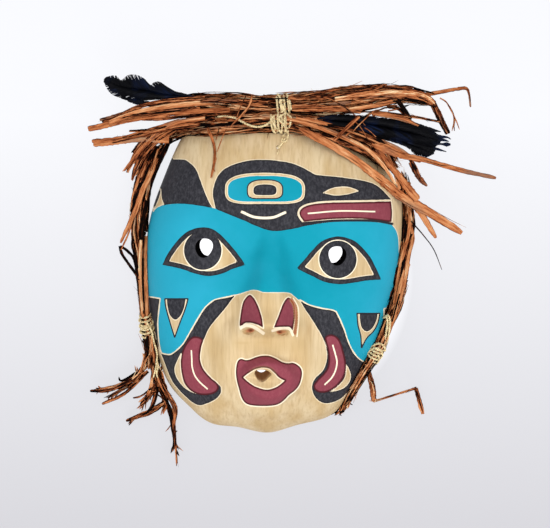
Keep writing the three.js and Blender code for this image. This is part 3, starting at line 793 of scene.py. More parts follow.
# Painted shade: brown spots darken the nostril pits, a band under the nose, two thin creases below it
# and a patch round the mouth hole, where shade falls.
PAINTED_SHADE_SPOTS = [(1.0, (-24.4, -66.3, 5.6, 3.2)), (0.7, (-26.8, -66.9, 8, 4)),
          (1.0, (4.8, -68.0, 5.0, 3.2)), (0.7, (8.6, -67.6, 8, 4)),
          (0.4, (-6, -80.5, 38, 12)), (0.54, (-11, -78.6, 13, 2)), (0.54, (-31, -79, 11, 2)),
          (0.3, (-12.5, -110, 15, 9))]
stain_and_painted_shade = np.max([strength * hump(u, v, place) ** 0.35 for strength, place in PAINTED_SHADE_SPOTS], axis=0)
for half_width, stroke in SHADE_STROKES:
    beside = stroke_distance(u, v, smooth_run(sheet(stroke), np.linspace(0, 1, 60)))[0]
    stain_and_painted_shade = np.maximum(stain_and_painted_shade, 0.8 * (1 - ramp(0.7, 1.2, beside / half_width)))
for name, values in (*edges.items(), ("sunk", sunk), ("stain_and_painted_shade", stain_and_painted_shade)):
    store(mask, name, values)
print("wood painted:", {c: round(float((d < 0).mean()), 3) for c, d in edges.items()})

# %% [markdown]
# ## Building a material
# A material is a graph of small nodes. One helper adds a node with its inputs, each either a plain
# number or the output of another node, so that a finish reads like a recipe below. Colours are
# written as a printer's 0 to 255 values and turned into the linear light that Blender mixes.

# %% Helpers for materials
def light(red, green, blue):
    """A printed colour as linear light: below 0.04045 it is value / 12.92, and above it
    ((value + 0.055) / 1.055) to the power 2.4."""
    value = np.array([red, green, blue]) / 255
    linear = np.where(value <= 0.04045, value / 12.92, ((value + 0.055) / 1.055) ** 2.4)
    return (*linear.tolist(), 1.0)


def put(tree, kind, inputs=(), **settings):
    """Adds one node. Each input is a number, a colour or another node's output."""
    made = tree.nodes.new("ShaderNode" + kind)
    for name, value in settings.items():
        setattr(made, name, value)
    for name, value in dict(inputs).items():
        if isinstance(value, bpy.types.NodeSocket):
            tree.links.new(value, made.inputs[name])
        else:
            made.inputs[name].default_value = value
    return made


def recipe(name):
    """A new material's tree and its main shader."""
    made = bpy.data.materials.new(name)
    made.use_nodes = True
    return made, made.node_tree, made.node_tree.nodes["Principled BSDF"]


def mixed(tree, share, low, high):
    """A colour between low and high, by a share from 0 to 1."""
    return put(tree, "Mix", {0: share, 6: low, 7: high}, data_type="RGBA").outputs[2]


def slope(tree, value, low, high, to_low=0.0, to_high=1.0):
    """A straight slope of a value from low to high, held at both ends."""
    return put(tree, "MapRange", {0: value, 1: low, 2: high, 3: to_low, 4: to_high}).outputs[0]


def sums(tree, operation, a, b=0.0):
    """One sum of two numbers."""
    return put(tree, "Math", {0: a, 1: b}, operation=operation).outputs[0]


def noise(tree, place, scale, detail=3.0, rough=0.55):
    """Noise between 0 and 1 at a place, with a scale in repeats a metre."""
    return put(tree, "TexNoise", {"Vector": place, "Scale": scale, "Detail": detail,
                                  "Roughness": rough}).outputs[0]


def stretched(tree, place, sizes):
    """A place whose three directions are multiplied, so that a pattern there is drawn out."""
    return put(tree, "Mapping", {"Vector": place, "Scale": sizes}).outputs[0]


def stored(tree, name):
    """A number that the mesh keeps for each vertex."""
    return put(tree, "Attribute", attribute_name=name).outputs["Fac"]


def along_strip(tree):
    """The place across and along a strip, which its mesh keeps for each vertex."""
    return put(tree, "Attribute", attribute_name="fibre").outputs["Vector"]


def object_place(tree):
    """The place on the piece in metres, which stays with the piece when it moves."""
    return put(tree, "TexCoord").outputs["Object"]


def coloured(tree, shader, look):
    """Gives the surface its colour."""
    tree.links.new(look, shader.inputs["Base Color"])


def bumped(tree, shader, height, strength, distance):
    """Gives the surface a fine roughness that is too small for its mesh."""
    made = put(tree, "Bump", {"Height": height, "Strength": strength, "Distance": distance})
    tree.links.new(made.outputs[0], shader.inputs["Normal"])


# %% [markdown]
# ## Carved wood under paint
# The wood is pale and close-grained, cut along the log, so its grain is drawn out from chin to
# crown: broad soft bands, fine streaks and short dark pores. The paint is thin and matt. It takes
# up a little of the grain, the black more than the blue. Its edge has a hand-drawn wobble, except
# on the steep sides, where every wobble would be drawn out long.

# %% The painted wood's material
WOOD_PALE, WOOD_WARM, WOOD_DARK = light(214, 192, 153), light(197, 169, 123), light(165, 129, 86)
# The first colour is a pale cut-wood tone, which also serves for painted highlights.
FRESH_CUT_AND_HIGHLIGHT, SHADE = light(255, 242, 214), light(184, 154, 104)
# Browns of the painted shade, from the faint band under the nose to the deepest nostril pits.
SHADE_BROWN, SHADE_DEEP_BROWN = light(176, 86, 44), light(84, 30, 14)
TURQUOISE, TURQUOISE_DEEP = light(34, 160, 187), light(0, 146, 167)
CHARCOAL, CHARCOAL_WORN = light(38, 38, 43), light(70, 69, 74)
MAROON, MAROON_WORN = light(134, 60, 72), light(150, 80, 88)
CHARCOAL_EDGE, MAROON_EDGE, HOLE_SHADE = light(20, 19, 22), light(66, 12, 18), light(8, 7, 8)

painted_wood, tree, shader = recipe("painted_wood")
place = object_place(tree)
grain = noise(tree, stretched(tree, place, (1.0, 0.07, 0.3)), 420, 5.0, 0.6)
bands = noise(tree, stretched(tree, place, (1.0, 0.2, 0.6)), 60, 3.0)
pores = noise(tree, stretched(tree, place, (1.0, 0.05, 0.5)), 900, 2.0)
cloud = noise(tree, place, 22, 3.0)
mottle = noise(tree, stretched(tree, place, (1.0, 0.55, 0.8)), 420, 4.0, 0.7)

wood = mixed(tree, slope(tree, bands, 0.35, 0.65), WOOD_PALE, WOOD_WARM)
wood = mixed(tree, slope(tree, grain, 0.48, 0.72, 0.0, 0.45), wood, WOOD_DARK)
wood = mixed(tree, slope(tree, pores, 0.62, 0.8, 0.0, 0.3), wood, WOOD_DARK)
# Painted shade: the wood turns a darker brown the deeper it lies below the face, in the holes and over
# the hollow back.
deep = slope(tree, stored(tree, "sunk"), 1.0, 9.0, 0.0, 0.85)
wood = mixed(tree, deep, wood, light(158, 102, 62))
other_paint = sums(tree, "MINIMUM", stored(tree, "blue"), stored(tree, "black"))
nearest_paint = sums(tree, "MINIMUM", stored(tree, "maroon"), sums(tree, "ADD", other_paint, 0.3))
# A pale line round every painted form on bare wood: partly the paler wood of the knife's cut, partly a
# painted highlight on the cut edges.
wood = mixed(tree, slope(tree, nearest_paint, 1.3, 0.5, 0.0, 0.75), wood, FRESH_CUT_AND_HIGHLIGHT)

height = put(tree, "SeparateXYZ", {0: place}).outputs["Z"]
wobble = slope(tree, noise(tree, place, 160, 2.0), 0.2, 0.8, -0.22, 0.22)
wobble = sums(tree, "MULTIPLY", wobble, slope(tree, height, 0.02, 0.04))


def covered(name):
    """1 where a colour lies: its edge distance, with the wobble, is below 0."""
    edge = sums(tree, "ADD", stored(tree, name), wobble)
    return slope(tree, edge, 0.16, -0.16)


def stroked(kind):
    """1 on a stroke: less than its half width beside its middle line, and not past its ends."""
    on_line = slope(tree, sums(tree, "ABSOLUTE", stored(tree, kind + "_line")), 1.15, 0.85)
    in_reach = slope(tree, stored(tree, kind + "_near"), 2.2, 1.6)
    return sums(tree, "MULTIPLY", on_line, in_reach)


blue_at, black_at, maroon_at = covered("blue"), covered("black"), covered("maroon")
bare_at, ink_at = stroked("bare"), stroked("ink")
aside = sums(tree, "ABSOLUTE", put(tree, "SeparateXYZ", {0: place}).outputs["X"])
faded = sums(tree, "ADD", slope(tree, aside, 0.025, 0.095), slope(tree, cloud, 0.3, 0.7, -0.3, 0.3))
blue = mixed(tree, faded, TURQUOISE_DEEP, TURQUOISE)
black = mixed(tree, slope(tree, mottle, 0.42, 0.72), CHARCOAL, CHARCOAL_WORN)
black = mixed(tree, slope(tree, stored(tree, "black"), -1.4, -0.3, 0.0, 0.7), black, CHARCOAL_EDGE)
# Painted shade: the black turns near-black deeper inside the eye holes.
black = mixed(tree, slope(tree, stored(tree, "sunk"), 0.8, 3.0), black, HOLE_SHADE)
maroon = mixed(tree, slope(tree, mottle, 0.45, 0.8, 0.0, 0.8), MAROON, MAROON_WORN)
# A darker maroon just inside every maroon edge; beside the nose's sunk wings it is painted shade of
# their walls.
maroon = mixed(tree, slope(tree, stored(tree, "maroon"), -2.1, -1.2, 0.0, 0.9), maroon,
               MAROON_EDGE)
look = mixed(tree, blue_at, wood, blue)
look = mixed(tree, black_at, look, black)
look = mixed(tree, maroon_at, look, maroon)
look = mixed(tree, ink_at, look, CHARCOAL)
# The painted shade is mixed in: pale brown where faint, red-brown where stronger, deep brown in the
# nostril pits.
stain_and_painted_shade = stored(tree, "stain_and_painted_shade")
brown = mixed(tree, slope(tree, stain_and_painted_shade, 0.54, 0.7), SHADE, SHADE_BROWN)
look = mixed(tree, stain_and_painted_shade, look, mixed(tree, slope(tree, stain_and_painted_shade, 0.7, 1.0), brown, SHADE_DEEP_BROWN))
# Bare strokes take a pale wood colour; some of them are painted highlights.
look = mixed(tree, bare_at, look, mixed(tree, 0.75, wood, FRESH_CUT_AND_HIGHLIGHT))
coloured(tree, shader, look)

paint_at = sums(tree, "MAXIMUM", sums(tree, "MAXIMUM", blue_at, black_at),
                sums(tree, "MAXIMUM", maroon_at, ink_at))
paint_at = sums(tree, "MULTIPLY", paint_at, sums(tree, "SUBTRACT", 1.0, bare_at))
skin = sums(tree, "MULTIPLY", paint_at, 1.6)
rough_wood = sums(tree, "ADD", sums(tree, "MULTIPLY", grain, 0.5), skin)
bumped(tree, shader, rough_wood, 0.35, 0.00035)
tree.links.new(slope(tree, mottle, 0.3, 0.7, 0.6, 0.72), shader.inputs["Roughness"])
tree.links.new(slope(tree, stored(tree, "sunk"), 0.4, 1.2, 0.14, 0.0),
               shader.inputs["Specular IOR Level"])

mask.data.materials.clear()
mask.data.materials.append(painted_wood)
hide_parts("mask")
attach(mask, "root")
print("painted wood has", len(tree.nodes), "nodes")

# %% [markdown]
# ## Shredded cedar bark
# The inner bark of red cedar is pulled off in sheets and beaten until it falls apart into flat
# strips and fine fibres. A bundle of it is hundreds of such strips side by side, none quite as
# long as the others. Each strip here is a flat six-cornered section carried along its own path,
# and each keeps a tint, a place along and across it, and how near its edge is. From these the
# material makes its fibres.

# %% A flat strip along a path
SECTION = np.array([(1, 0), (0.7, 1), (-0.7, 1), (-1, 0), (-0.7, -1), (0.7, -1)])
FINE_SECTION = np.array([(1, 0), (0, 1), (-1, 0), (0, -1)])
TABLE_GAP, MASK_GAP, MOST_LIFT, REST_GAP = 0.25, 0.4, 7.0, 1.6
EDGE_FINE, EDGE_BROAD = 0.6, 1.05
STRIP_CREASE = 24
WOOD_SHARE = 0.985  # share of the way to the rim up to which strips are kept out of the wood


def plain_height(u, v):
    """The face's height without the knife's work, and the table's outside the outline."""
    part = share_out(u, v)
    return MASK_DEPTH * dome(part) + relief(u, v) * (1 - ramp(FEATURES_END, 1, part))


# %% Heights that stay out of the wood
def lifted(u, v, z):
    """Heights raised a little where they would lie in the table or in the wood."""
    within = share_out(u, v) < WOOD_SHARE
    need = np.where(within, plain_height(u, v) + MASK_GAP - z, 0)
    return np.maximum(z + np.clip(need, 0, MOST_LIFT), TABLE_GAP)


def across_path(line):
    """The directions to the left of a path and upwards from it, each of length 1."""
    ahead = np.gradient(line[..., :3], axis=-2)
    ahead /= np.linalg.norm(ahead, axis=-1, keepdims=True) + 1e-9
    side = np.cross([0.0, 0.0, 1.0], ahead) + 1e-9
    side /= np.linalg.norm(side, axis=-1, keepdims=True)
    return side, np.cross(ahead, side)


def carried(centre, half_width, half_thick, turn, tint, section=SECTION, smooth=0.0):
    """Strips carried along their paths, all as arrays of strips by rings. Each ring is the
    section times its half width and half thickness, turned about the path. The edge is 1 on the
    outermost line, but less on a fine fibre, and falls away faster on a broad strip. Smooth is
    the share of the dark cracks that the strip does without."""
    side, rise = across_path(centre)
    cos, sin = np.cos(turn)[..., None], np.sin(turn)[..., None]
    flat, thick = cos * side + sin * rise, cos * rise - sin * side
    half = half_width[..., None]
    over, through = half * section[:, 0], half_thick[..., None] * section[:, 1]
    corner = (centre[..., None, :] + over[..., None] * flat[..., None, :]
              + through[..., None] * thick[..., None, :])
    u, v, z = corner.reshape(-1, 3).T
    places = real(u, v, lifted(u, v, z)).reshape(corner.shape)
    steps = np.linalg.norm(np.diff(centre, axis=1), axis=-1)
    along = np.cumsum(np.pad(steps, ((0, 0), (1, 0))), axis=1)[..., None] + 0 * over
    apart = (np.arange(len(centre)) * 7.3 + 40 * tint)[:, None, None] + 0 * over
    return {"places": places, "fibre": np.stack([over, along, apart], -1),
            "tint": tint[:, None, None] + 0 * over, "smooth": smooth + 0 * over,
            "edge": np.where(np.abs(section[:, 0]) > 0.9, np.minimum(1, half / EDGE_FINE),
                             np.minimum(0.7, EDGE_BROAD / half))}


def joined(name, sets):
    """One mesh of several sets of strips, with what each keeps for the material, and with sharp
    edges where two faces meet at more than the crease's degrees."""
    faces, first = [], 0
    for strips in sets:
        faces += [quads + first for quads in tube_faces(*strips["places"].shape[:3])]
        first += strips["places"][..., 0].size
    made = shaped(name, np.concatenate([s["places"].reshape(-1, 3) for s in sets]), faces)
    made.data.set_sharp_from_angle(angle=np.radians(STRIP_CREASE))
    for kept in ("tint", "edge", "smooth"):
        store(made, kept, np.concatenate([s[kept].ravel() for s in sets]))
    store(made, "fibre", np.concatenate([s["fibre"].reshape(-1, 3) for s in sets]))
    return made


# %% [markdown]
# ## Bundles, ribbons and loose fibres
# A bundle is drawn as one thick path. Every strip gets its own stretch of it and its own place in
# its round section, sways slowly in it and drifts out of it at both ends. Dark old strips, red
# ones and fresh orange ones are mixed in shares. A ribbon is a few strips side by side that
# overlap, and it ends bluntly where it was torn.

# %% Strips that share a thick path
LEVELS = [0.0, 0.17, 0.37, 0.55, 0.76]
MIXED, DARKER = (0.2, 0.12, 0.24, 0.26, 0.18), (0.45, 0.2, 0.15, 0.12, 0.08)
FRESHER, SKIN = (0.06, 0.14, 0.26, 0.32, 0.22), (0.34, 0.14, 0.12, 0.16, 0.24)
SWAY, SHAKE, SWAY_WAVES = [0.2, 0.1], 0.018, ([0.6, 2.2], [1.8, 6.0])
TIED_SHARE = 0.55  # the middle share of a strip that stays in its bundle
TORN_WAVE, TORN_NOISE, TORN_RANGE = 0.16, 0.1, (0.4, 1.6)
TINT_NOISE = 0.06


def bundle(path, count, seed, wide=(0.6, 2.2), span=(0.4, 1.0), loose=1.2, mix=MIXED, rings=40,
           thick=0.4, fill=0.9, lie=0.4, twist=0.0, stretch=(0, 1), section=SECTION):
    """Strips spread over a path's round section: radius fill times the root of a random number,
    a slow sway of two sines and a small shake, and at both ends a drift that grows with the
    square. A twist turns the whole section along the path."""
    rng = np.random.default_rng(seed)
    path = np.asarray(path, float)
    share = np.linspace(0, 1, rings)
    part = rng.uniform(*span, count)[:, None]
    t = rng.beta(0.6, 0.6, count)[:, None] * (1 - part) + part * share
    t = stretch[0] + (stretch[1] - stretch[0]) * t
    line = smooth_run(path, t)
    side, rise = across_path(line)
    radius, turn = fill * np.sqrt(rng.random(count))[:, None], rng.uniform(0, 2 * np.pi, count)
    turn = turn[:, None] + 2 * np.pi * twist * t
    waves = rng.uniform(*SWAY_WAVES, (count, 2))[:, None]
    starts = rng.uniform(0, 1, (count, 2))[:, None]
    sway = np.sin(2 * np.pi * (waves * t[..., None] + starts)) * SWAY
    p = radius * np.cos(turn) + sway.sum(-1) + rng.normal(0, SHAKE, t.shape)
    q = radius * np.sin(turn) + 0.5 * sway[..., 0]
    away = np.maximum(np.abs(2 * share - 1) - TIED_SHARE, 0) ** 2 / 0.2 * loose
    drift = rng.normal(0, 1, (count, 2, 3))
    drift = np.where((share < 0.5)[None, :, None], drift[:, :1], drift[:, 1:]) * [1, 1, 0.5]
    centre = (line[..., :3] + side * (p * line[..., 3])[..., None]
              + rise * (q * line[..., 4])[..., None] + away[:, None] * drift)
    half = np.exp(rng.uniform(*np.log(wide), count))[:, None]
    worn = 0.2 + 0.8 * ramp(0, 0.04, share) * ramp(0, 0.05, 1 - share)
    torn = 1 + TORN_WAVE * np.sin(9 * t + 20 * starts[..., 0]) + rng.normal(0, TORN_NOISE, t.shape)
    half_width = half * worn * np.clip(torn, *TORN_RANGE)
    facing = turn - np.pi / 2 + rng.normal(0, lie, count)[:, None] + 0.5 * sway[..., 0]
    tints = rng.choice(LEVELS, count, p=mix) + rng.normal(0, TINT_NOISE, count)
    return carried(centre, half_width, np.minimum(half_width, thick), facing,
                   np.clip(tints, 0, 1), section)


# %% Cores, fibres, splinters and ribbons
def core(path, count, seed, wide, span, **other):
    """Dark broad strips inside a bundle, so that no light shows through it."""
    # Their near-black colour is painted shade for the bundle's inside.
    return bundle(path, count, seed, wide=wide, span=span, mix=(1, 0, 0, 0, 0), loose=0.4, **other)


def fibres(path, count, seed, **other):
    """Fine fibres on a bundle's skin. There are hundreds, so each has only a few dozen faces."""
    plan = dict(wide=(0.3, 0.75), span=(0.1, 0.45), loose=1.6, thick=0.3, rings=12,
                section=FINE_SECTION, mix=SKIN)
    return bundle(path, count, seed, **{**plan, **other})


def splinters(path, count, seed, **other):
    """Short thin pieces that stick out of a bundle at both ends."""
    plan = dict(wide=(0.2, 0.6), span=(0.03, 0.12), loose=3.5, rings=7, thick=0.3, fill=1.0,
                lie=1.0, section=FINE_SECTION)
    return bundle(path, count, seed, **{**plan, **other})


FRAYED, TIP_SPREAD = 0.03, 0.3


def ribbon(path, seed, tint, parts, rings=30):
    """A flat ribbon of a few strips side by side: each strip's middle is its share of the
    ribbon's width, and its torn tip ends a little before or after the others."""
    rng = np.random.default_rng(seed)
    path = np.asarray(path, float)
    share = np.linspace(0, 1, rings)
    end = 1 - FRAYED * rng.random(parts)[:, None]
    end[0] = 1
    t = share * end
    line = smooth_run(path, t)
    side, rise = across_path(line)
    spaced = rng.permutation((np.arange(parts) + 0.5) / parts * 2 - 1)[:, None]
    spaced = spaced + rng.normal(0, 0.04, t.shape)
    tip = np.maximum(share - 0.75, 0) ** 2 / 0.06 * TIP_SPREAD
    centre = (line[..., :3] + side * (spaced * line[..., 3] * 0.8 + spaced * tip)[..., None]
              + rise * (0.3 * np.arange(parts))[:, None, None])
    half_width = line[..., 3] * (0.25 + 0.75 / parts) * (1 - 0.4 * ramp(0.97, 1, share)) * (
        1 + 0.08 * np.sin(11 * t + 9 * spaced) + rng.normal(0, 0.05, t.shape))
    half_thick = np.minimum(0.45 * line[..., 4], half_width)
    facing = 0.3 * spaced + 0.2 * np.sin(5 * t + seed)
    tints = np.clip(tint + rng.normal(0, 0.09, parts), 0, 1)
    return carried(centre, half_width, half_thick, facing, tints,
                   smooth=0.6 * ramp(0.45, 0.6, tint))


# %% Paths that rest on the face
def resting(places):
    """A path of balls that rest on the face: a place, a radius and a lift above rest. The height
    is the most that any part of the ball's underside needs."""
    turn, part = np.meshgrid(np.linspace(0, 2 * np.pi, 24, endpoint=False), [0, 0.35, 0.65, 0.9])
    path = []
    for u, v, radius, lift in places:
        below = plain_height(u + (radius * part * np.cos(turn)).ravel(),
                             v + (radius * part * np.sin(turn)).ravel())
        top = (below + radius * np.sqrt(1 - part.ravel() ** 2)).max()
        path.append((u, v, max(radius, top) + lift, radius, radius * 0.9))
    return np.array(path)


def height_below(u, v):
    """The height of the bark or the wood at a place: the two bundles' rounds, or the face."""
    height = plain_height(u, v)
    for path in (BROW, CROSSBAR):
        line = smooth_run(path, np.linspace(0, 1, 120))
        off = np.hypot(u[:, None] - line[:, 0], v[:, None] - line[:, 1]) / line[:, 3]
        top = line[:, 2] + line[:, 4] * np.sqrt(1 - np.minimum(off, 1) ** 2)
        height = np.maximum(height, np.where(off < 1, top, 0).max(axis=1))
    return height


def rested(points):
    """Rows of sheet places whose heights become those of what lies below them, and a bit."""
    rows = np.array(points, float)
    rows[:, 2] = height_below(*sheet(rows[:, :2]).T) + REST_GAP
    return rows


def sheet_path(points):
    """A path of sheet places with a height, a half width and a half thickness, which is 1 where
    it isn't given."""
    flat = np.asarray(points, float)
    thick = flat[:, 4] if flat.shape[1] > 4 else 1 + 0 * flat[:, 3]
    return np.column_stack([sheet(flat[:, :2]), flat[:, 2:4], thick])


# %% The paths of the two bundles and the two hanks
BROW = resting([(-117, 126, 8.5, 2), (-97, 134.5, 8.5, 1), (-62, 138.5, 9, 0), (-22, 141, 8.5, 0),
                (10, 141, 8, 0), (45, 137, 9, 0), (75, 127, 10, 0), (103, 112, 10, 0),
                (119, 96, 8, 0)])
CROSSBAR = np.array([(-124, 152, 50, 5, 4), (-85, 160, 51, 8, 7), (-45, 160, 52, 10, 9),
                     (-5, 157, 53, 10.5, 10), (45, 160, 53, 12, 10), (90, 165, 51, 12, 9),
                     (130, 169, 48, 8, 6), (160, 161, 45, 4, 2.5)], float)
HANK_LEFT = resting([(-110, 121, 8, 2), (-125, 106, 9.5, 2), (-132, 89, 10, 2), (-135, 74, 9.5, 2),
                     (-136.5, 54, 9, 3), (-137.5, 29, 9, 4), (-135, 6, 7, 4), (-132.5, -21, 5.5, 4),
                     (-130.2, -46, 5.5, 4), (-128, -66, 6, 4), (-125, -84, 6.5, 4),
                     (-124, -102, 6, 5)])
HANK_RIGHT = resting([(127, 92, 5.5, 2), (131, 70, 5, 3), (133, 50, 5.5, 3), (133, 34, 6, 3),
                      (129.5, 8, 5.5, 3), (126, -16, 6, 3), (122, -36, 7, 3), (113, -60, 5.5, 3),
                      (104, -84, 5.5, 4), (91, -105, 4.5, 4), (78, -128, 4, 4), (67, -148, 2, 6)])

# %% [markdown]
# ## The bark's material
# Beaten bark is a warm red-brown where it is fresh, orange to tan where it is thin, and nearly
# black-brown in the shade between strips. That shade is painted in: each strip darkens towards
# its edges. The fibres run along each
# strip, so the noise reads the strip's own place along and across it and is drawn out along it.
# One noise makes soft streaks some millimetres wide, a second the dark cracks between fibres and
# a third broad patches. A fourth picks out a few strips that still carry the bark's old grey skin.

# %% The bark's material
BARK_TINTS = [(0.0, light(7, 1, 0)), (0.1, light(16, 3, 0)), (0.21, light(76, 29, 9)),
              (0.32, light(134, 71, 40)), (0.52, light(178, 106, 62)),
              (0.8, light(210, 147, 99)), (1.0, light(232, 204, 160))]
BLEACHED = light(122, 100, 84)

bark, tree, shader = recipe("bark")
fibre = along_strip(tree)
streaks = noise(tree, stretched(tree, fibre, (0.45, 0.05, 1.0)), 1.0, 3.0, 0.6)
threads = noise(tree, stretched(tree, fibre, (1.0, 0.08, 1.0)), 1.0, 3.0, 0.65)
patches = noise(tree, stretched(tree, fibre, (0.12, 0.03, 1.0)), 1.0, 2.0)
cracks = sums(tree, "ADD", slope(tree, streaks, 0.38, 0.62, -0.22, 0.29),
              slope(tree, threads, 0.4, 0.54, -0.44, 0.08))
cracks = sums(tree, "MULTIPLY", cracks, sums(tree, "SUBTRACT", 1.0, stored(tree, "smooth")))
shade = sums(tree, "ADD", stored(tree, "tint"), cracks)
shade = sums(tree, "ADD", shade, slope(tree, patches, 0.3, 0.7, -0.14, 0.14))
# Painted shade: each strip darkens towards its edges, standing for the shade between strips.
shade = sums(tree, "ADD", shade, slope(tree, stored(tree, "edge"), 0.62, 1.0, 0.0, -0.4))
palette = put(tree, "ValToRGB", {0: shade})
stops = palette.color_ramp.elements
stops[0].position, stops[0].color = BARK_TINTS[0]
stops[1].position, stops[1].color = BARK_TINTS[-1]
for position, colour in BARK_TINTS[1:-1]:
    stops.new(position).color = colour
old_skin = noise(tree, stretched(tree, fibre, (0.03, 0.012, 1.7)), 1.0, 1.0)
old = sums(tree, "MULTIPLY", slope(tree, old_skin, 0.6, 0.68, 0.0, 0.6),
           slope(tree, shade, 0.15, 0.4))
look = mixed(tree, old, palette.outputs[0], BLEACHED)
coloured(tree, shader, look)
crack = sums(tree, "ADD", sums(tree, "MULTIPLY", streaks, 1.4), threads)
bumped(tree, shader, crack, 0.7, 0.0008)
shader.inputs["Roughness"].default_value = 0.75
shader.inputs["Specular IOR Level"].default_value = 0.05


def dress(made, node, material):
    """Gives a piece its material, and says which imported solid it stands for."""
    made.data.materials.append(material)
    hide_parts(node)
    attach(made, "root")
    print(node, "has", triangles(made), "triangles")
    return made


# %% [markdown]
# ## The two bundles on the crown
# The upper bundle lies straight across and fans out into long strips to the left. The lower one
# bends over the brow, and on the right it breaks up into orange strips that hang over the edge.
# Dark broad strips go in first as a core, then the middle strips, then short pieces and fine
# fibres on the skin.

# %% Strips of the crossbar
UPPER_STRIPS = [
    (0.66, [(215, 102, 61, 2.2), (170, 106, 59, 2.6), (135, 113, 57, 2.6), (108, 123, 55, 2.4)]),
    (0.4, [(205, 98, 60, 2), (165, 101, 60, 2), (138, 107, 58, 2), (119, 115, 56, 1.2)]),
    (0.6, [(230, 110, 62, 2.2), (185, 112, 60, 2.4), (150, 117, 58, 2), (124, 122, 56, 1.4)]),
    (0.2, [(200, 108, 60, 1.6), (160, 112, 59, 1.6), (128, 116, 57, 1.2), (112, 121, 55, 0.8)]),
    (0.5, [(190, 115, 58, 1.8), (160, 119, 56, 1.8), (140, 119, 54, 1.4)]),
    (0.2, [(252, 112.5, 60, 2.2), (215, 114.5, 59, 2.6), (186, 116.5, 57, 2)]),
    (0.3, [(268, 104, 65, 3), (250, 103, 65, 3.2), (222, 101.5, 64, 2.4), (200, 101, 62, 1.6)]),
    (0.52, [(292, 108, 65, 3.2), (318, 108, 65, 3.6), (340, 109, 65, 3), (362, 112, 63, 2)]),
    (0.42, [(288, 98, 64, 1.8), (330, 97, 63, 2.2), (360, 93, 62, 2.2), (387, 84, 60, 1)]),
    (0.3, [(300, 97, 62, 1.4), (325, 92, 62, 1.3), (350, 88, 61, 1.2), (378, 86, 60, 1),
           (414, 87.5, 56, 1)]),
    (0.5, [(335, 99, 63, 3), (372, 95, 62, 4.2), (404, 93.5, 58, 4.8), (424, 97, 54, 4.2),
           (434, 104, 48, 3.4)]),
    (0.25, [(360, 92, 62, 2.2), (385, 89, 60, 2.2), (412, 88, 57, 1.6)]),
    (0.12, [(404, 99, 54, 1.8), (420, 102, 52, 1.6), (437, 107, 47, 1)]),
    (0.05, [(414, 88, 57, 0.9), (425, 91, 55, 0.9), (434, 93.5, 53, 0.7)]),
    (0.45, [(385, 113, 57, 1.2), (410, 116.5, 55, 1.2), (440, 121.5, 50, 0.9)]),
    (0.68, [(372, 113, 61, 2.2), (390, 116, 60, 2.4), (406, 120, 58, 2.2), (419, 126, 55, 1)]),
    (0.62, [(345, 110, 64, 1.6), (372, 106, 63, 2.2), (394, 101, 61, 2)]),
    (0.06, [(397, 100, 60, 2.2), (404, 109, 57, 2.2), (411, 119.5, 54, 1.6)]),
    (0.05, [(388, 111, 58, 0.7, 0.7), (400, 108.5, 58, 0.7, 0.7), (409, 105, 57, 0.5, 0.5)]),
]
SPARE_FIBRES = [
    [(440, 98, 46, 0.7, 0.6), (447, 103, 43, 0.7, 0.6), (454, 117, 39, 0.8, 0.6),
     (452, 131, 36, 0.4, 0.4)],
    [(447, 103, 43, 0.6, 0.6), (455, 118, 39, 0.6, 0.6), (459.5, 129.5, 36, 0.4, 0.4)],
    [(455, 119, 39, 0.6, 0.6), (454, 126, 37, 0.6, 0.6), (454.5, 131, 36, 0.4, 0.4)],
    [(252, 95, 66, 1, 0.6), (249, 106, 67, 1.1, 0.6), (241, 116, 72, 1, 0.6), (229, 128, 76, 0.6, 0.4)],
    [(246, 96, 66, 0.5, 0.4), (240, 108, 67, 0.5, 0.4), (236, 119, 72, 0.4, 0.4)],
    [(320, 96, 65, 0.7, 0.5), (338, 103, 67, 0.7, 0.5), (356, 116, 67, 0.6, 0.4),
     (366, 126, 67, 0.4, 0.4)],
    [(352, 99, 65, 0.6, 0.5), (376, 104, 65, 0.5, 0.4), (398, 101, 61, 0.4, 0.4)],
    [(352, 119, 67, 0.6, 0.5), (360, 127, 70, 0.6, 0.5), (368, 140, 72, 0.4, 0.4)],
    [(352, 132, 73, 0.5, 0.5), (362, 122, 71, 0.5, 0.5), (374, 111, 67, 0.4, 0.4)],
    [(358, 124, 71, 0.5, 0.5), (368, 130, 71, 0.5, 0.5), (376, 137, 70, 0.4, 0.4)],
]


def strips_of(rows, seed):
    """Ribbons from rows of a tint and sheet places, of more parts where they are broader."""
    return [ribbon(sheet_path(path), seed + which, tint, 1 + int(max(p[3] for p in path)))
            for which, (tint, path) in enumerate(rows)]


# %% The crossbar
crossbar = joined("bark_over_the_crown", [
    core(CROSSBAR, 14, 11, (3, 5), (0.6, 0.75), fill=0.5, stretch=(0.05, 0.95)),
    bundle(CROSSBAR, 110, 12, fill=0.9, stretch=(0, 0.97)),
    bundle(CROSSBAR, 60, 13, wide=(1.0, 2.4), span=(0.2, 0.6), fill=1.0, mix=FRESHER,
           stretch=(0.02, 0.93)),
    fibres(CROSSBAR, 280, 14, span=(0.12, 0.5), fill=1.08, loose=2.0, stretch=(0, 0.97)),
    splinters(CROSSBAR, 90, 15, stretch=(0.04, 0.9)),
    *strips_of(UPPER_STRIPS, 100),
    *strips_of([(0.5, path) for path in SPARE_FIBRES], 140),
])
dress(crossbar, "bark_crossbar", bark)

